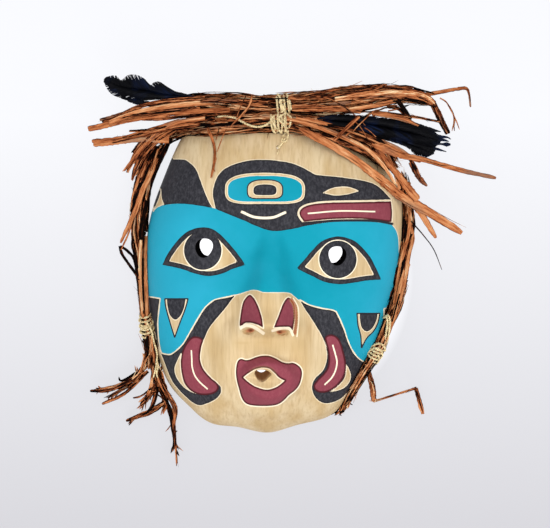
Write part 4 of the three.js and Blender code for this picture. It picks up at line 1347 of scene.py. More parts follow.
# %% Strips of the brow bundle
LOWER_STRIPS = [
    (0.56, [(200, 124, 62, 2.4), (170, 128, 53, 2.6), (140, 135, 45, 2.2), (112, 142, 42, 1.6)]),
    (0.3, [(215, 119, 63, 2), (180, 122, 55, 2), (150, 130, 48, 2), (122, 138, 44, 1.4)]),
    (0.66, [(205, 118, 63, 2.2), (172, 124, 54, 2.6), (150, 138, 45, 2.6), (136, 156, 44, 2),
            (123, 172, 38, 1)]),
    (0.76, [(185, 121, 57, 2), (160, 130, 49, 2), (144, 146, 42, 1.8), (133, 164, 40, 1.2)]),
    (0.45, [(178, 127, 52, 1.8), (160, 138, 47, 1.8), (147, 152, 42, 1.8), (134, 176, 40, 1.4)]),
    (0.1, [(165, 129, 48, 1.6), (146, 130.5, 45, 1.6), (129, 131, 44, 1)]),
    (0.5, [(172, 127, 49, 2.4), (151, 137, 45, 3), (138, 151, 43, 3), (131, 164, 40, 2),
           (127, 173, 38, 1)]),
    (0.36, [(176, 130, 48, 2), (156, 141, 45, 3), (143, 155, 42, 3), (135, 169, 40, 2),
            (132, 181, 38, 1)]),
    (0.24, [(160, 131, 47, 1.6), (143, 140, 44, 1.8), (132, 153, 42, 1.2)]),
    (0.6, [(287, 119, 70, 2), (312, 125, 70, 2.2), (345, 138, 64, 2.4), (378, 156, 52, 2),
           (398, 172, 43, 1.2)]),
    (0.42, [(292, 125, 70, 1.6), (320, 135, 69, 2), (352, 147, 62, 2), (384, 161, 49, 1.4)]),
    (0.7, [(296, 117, 70, 1.6), (330, 125, 69, 1.8), (368, 137, 60, 1.8), (398, 154, 47, 1.4)]),
    (1.0, [(350, 139, 64, 1.2), (368, 150, 58, 1.8), (383, 165, 52, 1.8), (396, 185, 43, 1.4)]),
    (0.88, [(384, 149, 52, 1.8), (393, 168, 44, 1.8), (400, 190, 44, 1.4)]),
    (0.55, [(410, 159, 44, 1.8), (416, 169, 42, 2), (420, 180, 44, 1.8), (427, 186, 40, 1)]),
    (0.02, [(411, 221, 30, 0.7, 0.6), (424, 236, 26, 0.6, 0.5), (434, 250, 22, 0.5, 0.5),
            (442, 270, 16, 0.3, 0.3)]),
    (0.7, [(381, 141, 57, 2.2), (398, 149, 52, 2.4), (412, 158, 47, 2.2), (421, 161, 44, 2)]),
    (0.2, [(318, 124, 70, 1.6), (350, 129, 67, 1.8), (382, 141, 57, 2), (401, 151, 49, 1.6)]),
]
OVER_STRIPS = [
    (0.85, [(331, 142.5, 92, 1.2), (345, 131, 93, 1.4), (358, 121, 88, 1.4), (373, 112, 80, 1.0)]),
    (0.6, [(337, 143.5, 92, 0.8), (350, 132.5, 92, 1.0), (364, 122, 86, 1.0), (377, 114, 78, 0.7)]),
    (0.75, [(341, 128, 93, 0.5, 0.6), (352, 130, 92, 0.6, 0.6), (366, 139, 86, 0.4, 0.5)]),
    (0.3, [(322, 113, 90, 0.6, 0.6), (340, 118, 92, 0.7, 0.6), (356, 128, 90, 0.5, 0.5)]),
]
BROW_FIBRES = [
    [(202, 116, 84, 1.5, 0.7), (208, 129, 84, 1.5, 0.7), (214, 145, 83, 1.4, 0.7),
     (214.5, 160, 85, 1.5, 0.7), (211, 178, 88, 0.8, 0.5)],
    [(216, 158, 85, 0.8, 0.5), (213, 166, 86, 0.9, 0.5), (215, 172, 87, 0.4, 0.3)],
    [(226, 129, 86, 0.5, 0.4), (221, 141, 85, 0.5, 0.4), (217, 152, 84, 0.4, 0.3)],
    [(219, 129, 85, 0.5, 0.4), (216, 140, 84, 0.4, 0.3)],
]

# %% The brow bundle
brow = joined("bark_over_the_brow", [
    core(BROW, 16, 21, (3, 4.6), (0.8, 1), fill=0.5),
    bundle(BROW, 110, 22, fill=0.9),
    bundle(BROW, 50, 23, wide=(1.0, 2.4), span=(0.2, 0.6), fill=1.0, mix=FRESHER),
    fibres(BROW, 300, 24, fill=1.08, loose=2.0),
    splinters(BROW, 110, 25),
    fibres(BROW, 70, 26, span=(0.15, 0.5), fill=1.2, loose=3.0, mix=DARKER,
           stretch=(0.48, 0.85)),
    *strips_of(LOWER_STRIPS, 200),
    *strips_of([(tint, rested(path)) for tint, path in OVER_STRIPS], 230),
    *strips_of([(0.62, rested(path)) for path in BROW_FIBRES], 240),
])
dress(brow, "bark_brow", bark)

# %% [markdown]
# ## The hanks at the sides
# From the bundles' ends two thin hanks hang down past the temples and are tied again at the
# cheeks. Below the ties they open into loose ends. In the left one a few broad flat strips lie
# over nearly black ones, and some bend back in a loop. The right one is twisted.

# %% Strips and tails of the hanks
def over_hank(path, points, above):
    """Rows on top of a hank: the height of its nearest place, plus the rise of its round. Each is
    a sheet place with a half width, and it is 1 thick."""
    rows = np.asarray(points, float)
    flat = sheet(rows[:, :2])
    order = np.argsort(path[:, 1])
    middle, height, radius = (np.interp(flat[:, 1], path[order, 1], path[order, k])
                              for k in (0, 2, 4))
    off = np.clip(np.abs(flat[:, 0] - middle) / radius, 0, 1)
    top = height + radius * np.sqrt(1 - off**2) + above
    return np.column_stack([flat, top, rows[:, 2], 1 + 0 * off])


# Painted shade: near-black ribbons lie in the hanks where the gaps between strips are dark.
GAP_SHADE = -0.3  # a tint so dark that no streak lightens it
LEFT_STRIPS = [
    (GAP_SHADE, [(157, 146, 3), (149, 160, 3), (143, 178, 3), (137, 196, 2.8), (133, 212, 2),
            (130, 224, 1.4)]),
    (GAP_SHADE, [(170, 138, 2.6), (163.5, 152, 2.8), (156.5, 168, 2.8), (149, 188, 2.8), (147, 210, 2.4),
            (146.5, 232, 2)]),
    (GAP_SHADE, [(146, 198, 1.6), (144, 214, 3), (142, 232, 3.2), (141, 250, 2)]),
    (0.48, [(153, 150, 2.2), (146, 164, 2.6), (139, 180, 2.6), (134, 196, 2), (132, 208, 1)]),
    (0.5, [(158, 149, 1), (154, 160, 1.2), (151, 172, 1), (149, 182, 0.6)]),
    (0.62, [(157, 158, 1.4), (151, 172, 2.6), (144, 187, 3), (138, 203, 2.8), (133, 216, 2.4),
            (127, 229, 2), (120.5, 243, 1.4)]),
    (0.6, [(146, 196, 0.7), (146.6, 204, 0.8), (147, 214, 0.6)]),
    (0.68, [(141, 240, 1.4), (140, 262, 1.8), (140.5, 285, 1.8), (142, 308, 1.6), (143, 318, 1.2)]),
    (0.62, [(146, 236, 1.6), (145.5, 262, 1.8), (146, 290, 2), (147, 316, 1.8)]),
    (GAP_SHADE, [(143, 258, 0.8), (143, 285, 1.1), (143.8, 314, 1)]),
    (0.0, [(119.6, 246, 1.2), (122, 254, 1.5), (128, 263, 1.5), (135.5, 273.5, 1.3), (139, 280, 1)]),
    (0.0, [(120.4, 246, 1), (127, 250.5, 1.4), (133, 257, 1.5), (136, 266, 1.4), (138, 276, 1.2)]),
    (0.12, [(133, 236, 0.9), (132, 246, 1), (135, 256, 1), (138, 268, 1)]),
    (0.74, [(134, 212, 0.9), (129, 232, 0.9), (121, 250, 0.8)]),
    (0.2, [(148, 336, 1.8), (147, 352, 2), (144, 366, 2), (139, 380, 1.6)]),
    (0.4, [(152, 336, 1.6), (154, 356, 1.8), (153, 376, 1.8), (148, 394, 1.6), (139, 402, 1)]),
    (0.12, [(155, 340, 1.6), (158, 362, 2), (158, 382, 2.2), (153, 404, 2), (146, 414, 1)]),
    (0.5, [(153, 370, 1.4), (160, 390, 1.8), (166, 404, 1.6), (163, 414, 0.8)]),
    (0.3, [(146, 366, 1.2), (138, 376, 1.2), (128, 384, 1), (114, 387, 0.7)]),
    (0.36, [(152, 388, 1), (141, 396, 1), (133, 398, 0.8)]),
]
RIGHT_STRIPS = [
    (GAP_SHADE, [(403.6, 200, 1.6), (404.4, 218, 2), (402.6, 240, 2), (398, 266, 2), (392.6, 292, 1.8),
            (388.6, 310, 1.2)]),
    (0.56, [(405.6, 202, 1.6), (410, 216, 1.9), (408.4, 234, 1.9), (402.6, 256, 1.9), (398, 278, 1.7),
            (394, 300, 1.4)]),
    (GAP_SHADE, [(407, 224, 0.8), (405, 240, 1.1), (403, 262, 1.2), (400, 284, 0.8)]),
    (0.66, [(409, 218, 1), (413, 238, 1.6), (408.6, 256, 1.8), (405.6, 276, 1.8), (401, 296, 1.6),
            (397, 312, 1.4)]),
    (0.74, [(399.6, 264, 0.8), (396.6, 284, 1.3), (393.6, 304, 1.1)]),
    (0.62, [(404, 270, 1.2), (399, 292, 2), (394.6, 314, 1.8), (389, 334, 1.2)]),
    (GAP_SHADE, [(400.6, 290, 0.7), (396.4, 306, 0.9), (392, 322, 0.7)]),
]
LEFT_TAILS = [
    (16, [(146, 350, 24, 3, 3), (141, 371, 20, 4, 3), (126, 382, 16, 3, 3), (106, 389, 13, 2.5, 2),
          (94, 390, 12, 2, 2)]),
    (10, [(146, 360, 20, 3, 3), (135, 380, 14, 3, 3), (119, 391, 10, 2.5, 2), (101, 403, 8, 2, 1)]),
    (18, [(150, 350, 24, 3, 3), (154, 374, 20, 4, 4), (150, 392, 14, 4, 4), (139, 408, 8, 4, 3)]),
    (16, [(155, 356, 22, 3, 3), (161, 378, 18, 3.5, 4), (165, 396, 12, 4, 4), (161, 411, 8, 4, 3)]),
    (10, [(166, 400, 10, 2, 2), (152, 411, 8, 2, 2), (128, 420, 6, 2, 1.5)]),
    (12, [(158, 384, 18, 4, 4), (170, 408, 14, 3, 3), (174, 432, 9, 2, 2), (176, 452, 6, 1.5, 1)]),
]

# %% The left hank
hank_left = joined("bark_down_the_left", [
    core(HANK_LEFT, 9, 31, (2, 3.2), (0.9, 1), fill=0.4),
    bundle(HANK_LEFT, 46, 32, wide=(0.6, 2.2), mix=(0.4, 0.22, 0.18, 0.13, 0.07), fill=0.75,
           loose=0.8),
    fibres(HANK_LEFT, 100, 34, wide=(0.3, 0.65), fill=0.9),
    bundle(HANK_LEFT, 26, 35, wide=(0.7, 1.6), span=(0.7, 1), mix=MIXED, fill=0.8, loose=2,
           rings=24, stretch=(0.84, 1)),
    *[bundle(sheet_path(path), count, 37 + which, wide=(0.5, 1.3), span=(0.3, 0.9), mix=MIXED,
             loose=3, rings=20, fill=0.9) for which, (count, path) in enumerate(LEFT_TAILS)],
    splinters(HANK_LEFT, 50, 36, loose=2.5),
    *[ribbon(over_hank(HANK_LEFT, path, 1 + 0.22 * which), 260 + which, tint, 1)
      for which, (tint, path) in enumerate(LEFT_STRIPS)],
])
dress(hank_left, "bark_hank_left", bark)

# %% The right hank
hank_right = joined("bark_down_the_right", [
    core(HANK_RIGHT, 7, 41, (1.6, 2.6), (0.85, 0.98), fill=0.4),
    bundle(HANK_RIGHT, 44, 42, wide=(0.6, 1.8), fill=0.95, loose=0.8, twist=0.8,
           mix=(0.18, 0.0, 0.08, 0.3, 0.44)),
    bundle(HANK_RIGHT, 34, 43, wide=(1.0, 2.2), span=(0.12, 0.35), fill=1.05, mix=FRESHER,
           twist=1.1, stretch=(0, 0.66)),
    fibres(HANK_RIGHT, 90, 44, wide=(0.3, 0.6), span=(0.1, 0.4), fill=1.1, twist=0.8),
    bundle(HANK_RIGHT, 22, 46, wide=(0.8, 1.8), span=(0.5, 0.9), mix=FRESHER, fill=0.9,
           loose=1.0, rings=24, stretch=(0.76, 1)),
    bundle(sheet_path([(352, 386, 14, 3, 3), (345, 404, 9, 4, 4), (335, 415, 6, 3, 2)]), 20, 47,
           wide=(0.7, 1.6), span=(0.4, 0.9), mix=MIXED, loose=2, rings=16),
    splinters(HANK_RIGHT, 60, 45, loose=2.5),
    *[ribbon(over_hank(HANK_RIGHT, path, 1 + 0.22 * which), 290 + which, tint, 1)
      for which, (tint, path) in enumerate(RIGHT_STRIPS)],
])
dress(hank_right, "bark_hank_right", bark)

# %% [markdown]
# ## Loose ribbons
# Some ribbons leave the bundles on their own: a broad forked one over the right temple, a long
# one that points far out to the right, a hooked one at the top, and torn ends at the cheeks. Each
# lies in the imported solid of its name.

# %% Loose ribbons
RIBBONS = {
    "ribbon_forked": (0.62, 1, [
        (24, 135, 75, 1.4, 1), (36, 129, 75, 3.4, 1), (70, 111, 62, 4, 1), (104, 86, 48, 4.6, 1),
        (126, 68, 42, 4.8, 1), (150, 54, 38, 4.6, 1), (187, 31, 32, 3.8, 1)]),
    "ribbon_fork_tip": (0.6, 1, [
        (133, 68, 39, 3.8, 0.9), (147, 49, 35, 3.2, 0.9), (161, 26, 30, 2.0, 0.9)]),
    "ribbon_beside": (0.58, 1, [
        (102, 115, 54, 2.6, 1), (118, 95, 49, 3.4, 1), (133, 76, 44, 4, 1), (143, 64, 41, 4, 1)]),
    "ribbon_far_right": (0.6, 1, [
        (97, 120, 54, 1.4, 1), (106, 116, 56, 3.4, 1), (125, 109, 52, 3.6, 1),
        (150, 104, 48, 2.6, 1), (185, 94, 44, 2.4, 1), (221, 86, 40, 2.2, 1)]),
    "ribbon_short_right": (0.5, 1, [
        (136, 102, 46, 2.8, 1), (143, 88, 41, 2.8, 1), (152, 78, 38, 1.4, 0.8)]),
    "ribbon_hooked": (0.62, 1, [
        (142, 168, 54, 2, 1), (160, 171, 52, 2, 1), (182, 175, 50, 2, 1),
        (191, 175.5, 49, 1.6, 0.9), (194, 170, 47, 1.1, 0.8), (195.5, 157, 43, 1, 0.8)]),
    "ribbon_folded": (0.14, 2, [
        (157, 162, 47, 3.4, 1), (165, 146, 41, 3.4, 1), (173, 130, 36, 2.6, 1)]),
    "ribbon_hanging": (0.1, 1, [
        (112, 158, 44, 2, 1), (124, 155, 42, 2, 1), (135, 144, 38, 1.6, 1)]),
    "ribbon_thin_right": (0.4, 1, [
        (100, 152, 46, 1.6, 0.8), (135, 148, 43, 1.3, 0.8), (165, 142, 40, 1.2, 0.8)]),
    "ribbon_left_top": (0.6, 2, [
        (-112, 150, 56, 4, 1), (-140, 147, 54, 4, 1), (-165, 140, 51, 3.2, 1),
        (-187, 135, 49, 2.8, 1)]),
    "ribbon_left_upper": (0.4, 2, [
        (-118, 155, 46, 3, 1), (-148, 150, 46, 3, 1), (-175, 143, 45, 2.4, 1)]),
    "ribbon_left_low": (0.6, 2, [
        (-106, 125, 47, 4.5, 1), (-135, 126, 44, 4, 1), (-160, 123, 42, 4, 1),
        (-183, 121, 40, 3.8, 1)]),
    "ribbon_cheek_upper": (0.3, 1, [
        (-129, -103, 18, 1.8, 0.9), (-145, -116, 20, 1.8, 0.9), (-165, -126, 22, 1.8, 0.9),
        (-185, -127, 22, 1.4, 0.9)]),
    "ribbon_cheek_lower": (0.34, 1, [
        (-127, -107, 13, 1.8, 0.9), (-150, -129, 13, 1.8, 0.9), (-173, -140, 13, 1.4, 0.9)]),
    "ribbon_chin_left": (0.42, 1, [
        (-108, -137, 12, 2.2, 1), (-127, -148, 10, 2.4, 1), (-149, -157, 8, 1.6, 1)]),
    "ribbon_chin_trail": (0.34, 2, [
        (-120, -106, 22, 1.6, 0.9), (-110, -126, 24, 2.4, 0.9), (-100, -144, 20, 2.4, 0.9),
        (-101, -160, 15, 1.8, 0.9), (-99.5, -181, 10, 1.2, 0.8), (-98, -202, 6, 0.8, 0.8)]),
    "ribbon_zigzag": (0.44, 1, [
        (92, -103, 20, 2.2, 0.8), (97, -121, 18, 2.9, 0.8), (98.6, -134, 19, 2.6, 0.8),
        (99.4, -136.4, 19, 1.8, 0.8), (102, -136.4, 19, 1.2, 0.8), (137, -125.4, 22, 1.2, 0.8),
        (140.4, -124.6, 22, 1.6, 0.8), (141.6, -127, 21, 2.2, 0.8), (148, -150, 18, 2.6, 0.8)]),
    "ribbon_over_crown": (0.62, 2, [
        (59, 124, 74, 2, 0.9), (70, 134, 77, 2, 0.9), (84, 148, 76, 2, 0.9)]),
}
for which, (name, (tint, parts, path)) in enumerate(RIBBONS.items()):
    made = joined("loose_" + name, [
        ribbon(path, 300 + which, tint, parts, rings=10 * len(path)),
        splinters(path, 5, 330 + which, loose=1.5, span=(0.1, 0.4), wide=(0.2, 0.4)),
    ])
    dress(made, name, bark)

# %% [markdown]
# ## Feathers
# A feather is a quill with barbs on both sides that lean towards its tip and hold together as a
# vane until they split. Each barb here is a thin strip of its own, from the quill to the vane's
# drawn edge, bent like a bow and lifted in its middle, so the vanes curl over as on old feathers.
# The right one's tip has parted into a few pointed fingers. They are blue-black with a soft gloss.

# %% Barbs on both sides of a quill
def sheet_run(points):
    """Sheet places with a height, ready to be a smooth run."""
    flat = np.asarray(points, float)
    return np.column_stack([sheet(flat[:, :2]), flat[:, 2]])


CLUMPS, BARB_RINGS, SHAFT_RINGS = 7, 10, 24
CLUMP_HOLD, BARB_LEAN, UNDER_LAYER = 0.93, 1.1, -0.7


def feather(quill, edges, seed, count, curl, split, sweep=0.07):
    """A quill and its barbs. A barb starts at a share of the quill and ends a little farther on
    along its edge, and past the split it is drawn to the nearest of a few clumps. In between it
    is a curve of the second degree, lifted by curl times the sine of half a turn."""
    rng = np.random.default_rng(seed)
    quill = sheet_run(quill)
    length = np.linalg.norm(np.diff(quill, axis=0), axis=1).sum()
    sets = []
    w = np.linspace(0, 1, BARB_RINGS)[:, None]
    for number, edge in enumerate(edges):
        for layer in (0.0, UNDER_LAYER):
            s = np.linspace(0.01, 0.985, count) + rng.normal(0, 0.004, count)
            root = smooth_run(quill, s)
            ends = np.clip(s + sweep * rng.uniform(0.7, 1.3, count), 0, 1)
            clumped = (np.round(ends * CLUMPS - 0.5) + 0.5) / CLUMPS
            held = CLUMP_HOLD * ramp(split - 0.15, split + 0.1, ends)
            tip = smooth_run(sheet_run(edge), ends * (1 - held) + clumped * held)
            ahead = smooth_run(quill, np.clip(s + 0.04, 0, 1)) - root
            bend = root + 0.35 * (tip - root) + BARB_LEAN * ahead
            line = ((1 - w) ** 2 * root[:, None] + 2 * w * (1 - w) * bend[:, None]
                    + w**2 * tip[:, None])
            reach_out = np.linalg.norm(tip - root, axis=1)
            line[..., 2] += layer + np.sin(np.pi * w[:, 0]) * (curl * reach_out / 12)[:, None]
            line[..., 2] += rng.normal(0, 0.18, count)[:, None]
            half = length / count * 0.95 * (1 - 0.7 * ramp(0.55, 1, w[:, 0]))
            tints = np.clip(rng.normal(0.35, 0.25, count), 0, 1)
            facing = (0.5 - number) * 0.7 + rng.normal(0, 0.12, count)[:, None] + 0 * half
            sets.append(carried(line, half + 0 * facing, 0.16 + 0 * facing, facing, tints))
    shaft = smooth_run(quill, np.linspace(0, 1, SHAFT_RINGS))[None]
    shaft[..., 2] += 0.7
    taper = np.linspace(1.0, 0.25, SHAFT_RINGS)[None]
    sets.append(carried(shaft, taper, 0.8 * taper, 0 * taper, np.array([0.1])))
    return sets


# %% Where the feathers lie
FEATHERS = {
    "feather_left": dict(
        quill=[(196, 97, 55), (178, 96, 54), (160, 93.5, 53), (140, 90, 52), (120, 86.5, 51),
               (104, 79.5, 49)],
        edges=[
            [(196, 94, 55), (178, 92, 54), (170, 89, 54), (160, 82, 53), (154, 82.5, 53),
             (150, 85, 53), (144, 78.5, 53), (136, 74.8, 53), (128, 75.2, 52), (121, 80, 51),
             (116, 75.8, 50), (110, 76, 50), (104, 78.6, 49)],
            [(196, 100, 55), (178, 99, 54), (160, 99.5, 53), (140, 100.5, 51), (124, 98.5, 50),
             (113, 95, 49), (106.5, 88, 49), (104, 80, 49)]],
        seed=51, count=110, curl=3.4, split=0.95),
    "feather_left_under": dict(
        quill=[(163, 106, 56), (148, 104.5, 56), (134, 101.5, 54), (121, 97, 52)],
        edges=[[(163, 104, 56), (148, 101, 56), (134, 98, 54), (121, 96, 52)],
               [(163, 107, 56), (148, 106.5, 56), (134, 104, 54), (121, 98, 52)]],
        seed=52, count=40, curl=0.8, split=0.8),
    "feather_right": dict(
        quill=[(310, 119, 63), (340, 121, 61), (370, 124, 58), (400, 130, 55), (420, 135, 52),
               (437, 139.5, 49)],
        edges=[
            [(310, 114, 63), (340, 114.5, 61), (370, 116, 59), (395, 119.5, 56), (415, 124, 53),
             (428, 128.5, 51), (436, 133, 49), (440, 137, 49), (441, 140, 49)],
            [(310, 124, 63), (340, 129, 61), (370, 134, 57), (395, 139, 54), (410, 143, 52),
             (423, 147, 50), (433, 147.5, 49), (439, 144, 49), (441, 141, 49)]],
        seed=53, count=120, curl=2.6, sweep=0.1, split=2),
    "feather_right_under": dict(
        quill=[(372, 135, 54), (392, 138.5, 51), (412, 144, 48), (426, 150, 45), (433, 153, 43)],
        edges=[[(372, 133, 54), (392, 135.5, 51), (412, 140, 48), (428, 144, 45), (436, 148, 43)],
               [(372, 137, 54), (392, 142, 51), (407, 147.5, 48), (415, 154.5, 45),
                (425, 157.5, 43), (434, 154, 43)]],
        seed=54, count=70, curl=1.6, split=2),
}
FINGERS = {"feather_right": [
    [(400, 121.5, 57, 2, 0.6), (418, 126, 54, 2.6, 0.6), (431, 129.6, 51, 1.8, 0.6),
     (441, 131.8, 49, 0.5, 0.4)],
    [(405, 129, 57, 2, 0.6), (428, 134, 53, 2.4, 0.6), (441, 136.6, 51, 1.6, 0.6),
     (447.5, 137.4, 50, 0.9, 0.5), (451, 139.4, 49, 0.4, 0.4)],
    [(405, 134, 57, 2, 0.6), (428, 139.5, 53, 2.8, 0.6), (441, 139.6, 51, 1.6, 0.6),
     (449, 141.4, 49, 0.6, 0.4)],
    [(410, 139, 56, 2, 0.6), (430, 142.5, 52, 2.2, 0.6), (441, 144, 50, 1.2, 0.6),
     (446.5, 144.4, 49, 2, 0.6), (450.6, 144.4, 49, 1.2, 0.4)],
    [(408, 141, 55, 2, 0.6), (425, 145.5, 51, 2.4, 0.6), (437, 149, 49, 1.4, 0.6),
     (446.5, 151.8, 48, 0.4, 0.4)],
]}

# %% The feathers' material
vane, tree, shader = recipe("feather")
fibre = along_strip(tree)
fuzz = noise(tree, stretched(tree, fibre, (3.0, 0.35, 1.0)), 1.0, 2.0)
place = object_place(tree)
drift = noise(tree, place, 46, 1.0)
blue_sheen = sums(tree, "MULTIPLY", slope(tree, drift, 0.52, 0.7), stored(tree, "tint"))
look = mixed(tree, slope(tree, fuzz, 0.3, 0.8), light(0, 0, 2), light(6, 7, 12))
look = mixed(tree, blue_sheen, look, light(17, 30, 60))
coloured(tree, shader, look)
tree.links.new(slope(tree, fuzz, 0.2, 0.8, 0.36, 0.56), shader.inputs["Roughness"])
shader.inputs["Specular IOR Level"].default_value = 0.07
for name, plan in FEATHERS.items():
    fingers = [ribbon(sheet_path(path), 55 + which, 0.6, 1)
               for which, path in enumerate(FINGERS.get(name, []))]
    dress(joined("vane_" + name, feather(**plan) + fingers), name, vane)

# %% [markdown]
# ## Twine lashings
# The bark is tied with straw-coloured twine of two strands twisted together. Its path is worked
# out first: a helix round the bundle where it is tied, or a smooth run where a loose end lies on
# the bark. The two strands then go round that path half a turn apart, once in every few
# millimetres.

# %% Twisted twine along a path
ROUND = np.column_stack([np.cos(np.linspace(0, 2 * np.pi, 7)[:-1]),
                         np.sin(np.linspace(0, 2 * np.pi, 7)[:-1])])
TWINE_RADIUS, TWIST_LENGTH = 1.05, 4.6


def laid(line, seed, thickness=TWINE_RADIUS):
    """Two strands round a path: each stands half a radius off it, in a direction that turns once
    in a twist's length, and both grow thin at the ends."""
    rng = np.random.default_rng(seed)
    steps = np.linalg.norm(np.diff(line, axis=0), axis=1)
    along = np.concatenate([[0], np.cumsum(steps)])
    rings = max(int(along[-1] / 0.75), 8)
    even = np.linspace(0, along[-1], rings)
    line = np.column_stack([np.interp(even, along, axis) for axis in line.T])
    side, rise = across_path(line)
    turn = 2 * np.pi * even / TWIST_LENGTH + np.array([[0], [np.pi]])
    off = 0.5 * thickness * (np.cos(turn)[..., None] * side + np.sin(turn)[..., None] * rise)
    ends = 0.4 + 0.6 * ramp(0, 2, even) * ramp(0, 2, even[-1] - even)
    half = 0.62 * thickness * ends * (1 + 0.08 * rng.normal(0, 1, rings)) + 0 * turn
    return carried(line + off, half, half, turn * 0, np.array([0.45, 0.6]), ROUND)


def wound(path, begin, end, turns, seed, grow=0.9, phase=0.0, lean=0.0):
    """Twine wound round a thick path: its middle plus the path's sizes, grown by the twine's own
    radius, times cosine and sine of a growing turn. A lean pushes the near side along it."""
    share = np.linspace(0, 1, int(abs(turns) * 40))
    turn = 2 * np.pi * (turns * share + phase)
    line = smooth_run(path, begin + (end - begin) * share + lean * np.sin(turn))
    side, rise = across_path(smooth_run(path, begin + (end - begin) * share + 1e-6 * share))
    return laid(line[:, :3] + side * (np.cos(turn) * (line[:, 3] + grow))[:, None]
                + rise * (np.sin(turn) * (line[:, 4] + grow))[:, None], seed)


def loose_end(points, seed, thickness=TWINE_RADIUS):
    """Twine that lies along sheet places with heights."""
    return laid(smooth_run(sheet_run(points), np.linspace(0, 1, 16 * len(points))), seed, thickness)


def on_top(points, above=1.3):
    """Sheet places given the height of the bark or the wood below them, and a bit."""
    return np.column_stack([np.asarray(points, float), height_below(*sheet(points).T) + above])


def into_hole(points, hole):
    """Twine that lies on the face and then goes down through a drilled hole."""
    px, py = SHEET_MIDDLE + [hole[0], -hole[1]]
    top = plain_height(np.array([hole[0]]), np.array([hole[1]]))[0]
    down = [(px, py, top + 0.5), (px, py, top - 6), (px, py, top - 22)]
    return np.concatenate([on_top(points), down])


# %% The twine's material
twine, tree, shader = recipe("twine")
fibre = along_strip(tree)
threads = noise(tree, stretched(tree, fibre, (2.5, 0.5, 1.0)), 1.2, 3.0)
place = object_place(tree)
stain_and_painted_shade = noise(tree, place, 120, 2.0)
look = mixed(tree, slope(tree, threads, 0.36, 0.58), light(150, 108, 54), light(250, 234, 184))
look = mixed(tree, slope(tree, stain_and_painted_shade, 0.55, 0.8, 0.0, 0.6), look, light(150, 116, 70))
coloured(tree, shader, look)
bumped(tree, shader, threads, 0.5, 0.0004)
shader.inputs["Roughness"].default_value = 0.8

# %% The three lashings
crown = joined("twine_at_the_crown", [
    wound(CROSSBAR, 0.449, 0.487, 3.6, 61),
    wound(CROSSBAR, 0.484, 0.452, 1.3, 62, grow=1.9, phase=0.2, lean=0.006),
    wound(BROW, 0.45, 0.512, 4.2, 63, phase=0.1, lean=0.006),
    wound(BROW, 0.515, 0.452, 2.4, 64, grow=1.9, lean=-0.012),
    loose_end(on_top([(282, 99), (281, 107), (286, 113), (291, 118), (289, 128)], 2.6), 65),
    loose_end(on_top([(279, 101), (284, 109), (279, 114), (272, 118), (276, 128)], 2.8), 66),
    loose_end(on_top([(286, 113), (279, 118), (283, 124), (288, 129)], 3.4), 67),
    loose_end(on_top([(270.5, 118), (273, 123), (276.5, 129.5)], 3.6), 78),
    loose_end(on_top([(196, 121), (203, 118.6), (213, 117), (225, 116.4), (235, 118),
                      (242, 121.6), (249, 125), (256, 126.8), (263, 126), (269, 123),
                      (274, 118.5)], 1.8), 68),
    loose_end(on_top([(288, 130), (288, 136), (286.4, 141), (282.4, 141.6), (283, 136.6),
                      (287, 132)]), 69, 0.95),
    loose_end(into_hole([(285.6, 138), (282.4, 143), (280, 146)], TIE_HOLES[0]), 70, 0.95),
    loose_end(on_top([(280, 146.5), (278.4, 150), (277.4, 154.5)]), 77, 0.8),
])
dress(crown, "twine_crown", twine)
left = joined("twine_at_the_left_cheek", [
    wound(HANK_LEFT, 0.742, 0.842, 5.5, 71, grow=-0.2, lean=0.018),
    wound(HANK_LEFT, 0.765, 0.832, 2.5, 72, grow=0.9, phase=0.35, lean=0.02),
    loose_end([(147, 322, 30), (151.5, 331, 32), (154, 342, 32), (157, 353, 31), (156.4, 364, 30),
               (155.4, 374, 29)], 74, 0.9),
    loose_end([(156.4, 358, 32), (158, 366, 32), (156.6, 373, 31), (157.6, 378, 30)], 75, 0.8),
    loose_end([(156.8, 362, 32), (155.2, 370, 32), (153.2, 378, 31)], 76, 0.7),
])
dress(left, "twine_left", twine)
right = joined("twine_at_the_right_cheek", [
    wound(HANK_RIGHT, 0.724, 0.778, 4.2, 81, grow=0.3, lean=0.012),
    wound(HANK_RIGHT, 0.775, 0.73, 2.2, 82, grow=1.2, phase=0.3, lean=-0.018),
    loose_end([(379, 352, 27), (384, 343, 31), (386.2, 332, 37), (387.5, 322, 43),
               (386.5, 317, 42), (384, 317.5, 34), (383.6, 317.8, 14)], 83),
    loose_end([(381, 354, 25), (386, 345, 29), (389, 333, 36), (390, 322, 42), (388.5, 315.5, 42),
               (385, 316.5, 36), (383.8, 317.6, 16)], 84),
])
dress(right, "twine_right", twine)

# %% [markdown]
# ## The table, the light and the camera
# The mask lies on a pale table that glows a little, like a photographer's light table, so the
# eye holes show bright and the shadows stay faint. Wide soft lights come from the crown's side
# and from both sides. The camera hangs straight above the drawing's middle, where the drawing
# was made from.

# %% Table, lights and camera
TABLE_HALF, TABLE_DROP = 12, 0.0006
AIM = (0.0, 0.0, 0.05)

table_corners = np.array([(-1, -1), (1, -1), (1, 1), (-1, 1)]) * TABLE_HALF
table = shaped("table", np.column_stack([table_corners, np.full(4, -TABLE_DROP)]),
               [np.arange(4)[None]])
pale, tree, shader = recipe("pale_table")
place = object_place(tree)
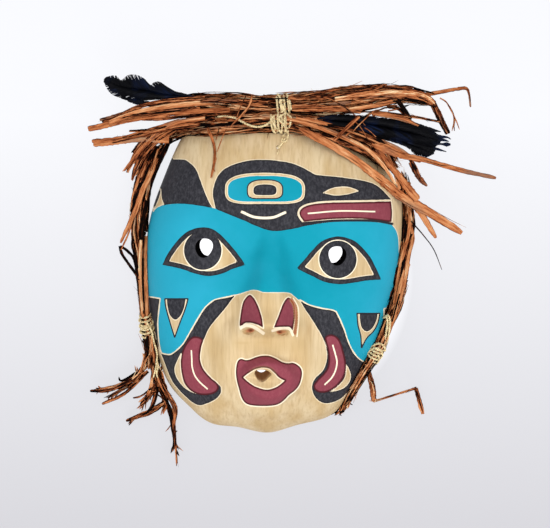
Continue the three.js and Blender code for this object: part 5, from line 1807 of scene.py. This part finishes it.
# Painted light: the table's glow is brighter towards the crown's side and darker towards the chin.
height = put(tree, "SeparateXYZ", {0: place}).outputs["Y"]
glow = mixed(tree, slope(tree, height, -0.3, 0.16), light(206, 205, 209), light(247, 248, 251))
tree.links.new(glow, shader.inputs["Emission Color"])
# Painted light: a round patch under the mask glows brighter, so the eye holes show bright.
lamp = put(tree, "TexGradient", {"Vector": stretched(tree, place, (7, 6, 7))},
           gradient_type="SPHERICAL").outputs[1]
tree.links.new(slope(tree, lamp, 0.12, 0.32, 0.92, 1.5), shader.inputs["Emission Strength"])
shader.inputs["Base Color"].default_value = light(80, 80, 84)
shader.inputs["Roughness"].default_value = 0.9
shader.inputs["Specular IOR Level"].default_value = 0.0
table.data.materials.append(pale)

world = bpy.data.worlds.new("studio")
world.use_nodes = True
world.node_tree.nodes["Background"].inputs["Color"].default_value = (0.93, 0.94, 1.0, 1.0)
world.node_tree.nodes["Background"].inputs["Strength"].default_value = 0.38
bpy.context.scene.world = world


def softbox(name, place, size, power):
    """A square area light of a size in metres and a power in watts that faces the mask."""
    lamp = bpy.data.lights.new(name, "AREA")
    lamp.shape, lamp.size, lamp.energy = "SQUARE", size, power
    made = bpy.data.objects.new(name, lamp)
    bpy.context.scene.collection.objects.link(made)
    made.location = place
    made.rotation_euler = (made.location - Vector(AIM)).to_track_quat("Z", "Y").to_euler()


softbox("top_light", (-0.2, 0.2, 2.2), 1.6, 16.5)
softbox("crown_light", (-0.3, 1.6, 1.6), 1.4, 7)
softbox("left_light", (-1.5, -0.2, 1.3), 1.2, 10)
softbox("right_light", (1.5, 0.0, 1.4), 1.2, 13)
softbox("chin_light", (0.2, -1.4, 1.5), 1.2, 20.5)

lens = bpy.data.cameras.new("camera")
lens.sensor_width, lens.lens = 36.0, 90.0
lens.clip_start, lens.clip_end = 0.01, 50.0
camera = bpy.data.objects.new("camera", lens)
bpy.context.scene.collection.objects.link(camera)
camera.location = (SHIFT[0] * MM, SHIFT[1] * MM, EYE_HEIGHT * MM)
bpy.context.scene.camera = camera
bpy.context.scene.view_settings.view_transform = "Standard"
print("the camera looks down from", [round(c, 4) for c in camera.location])
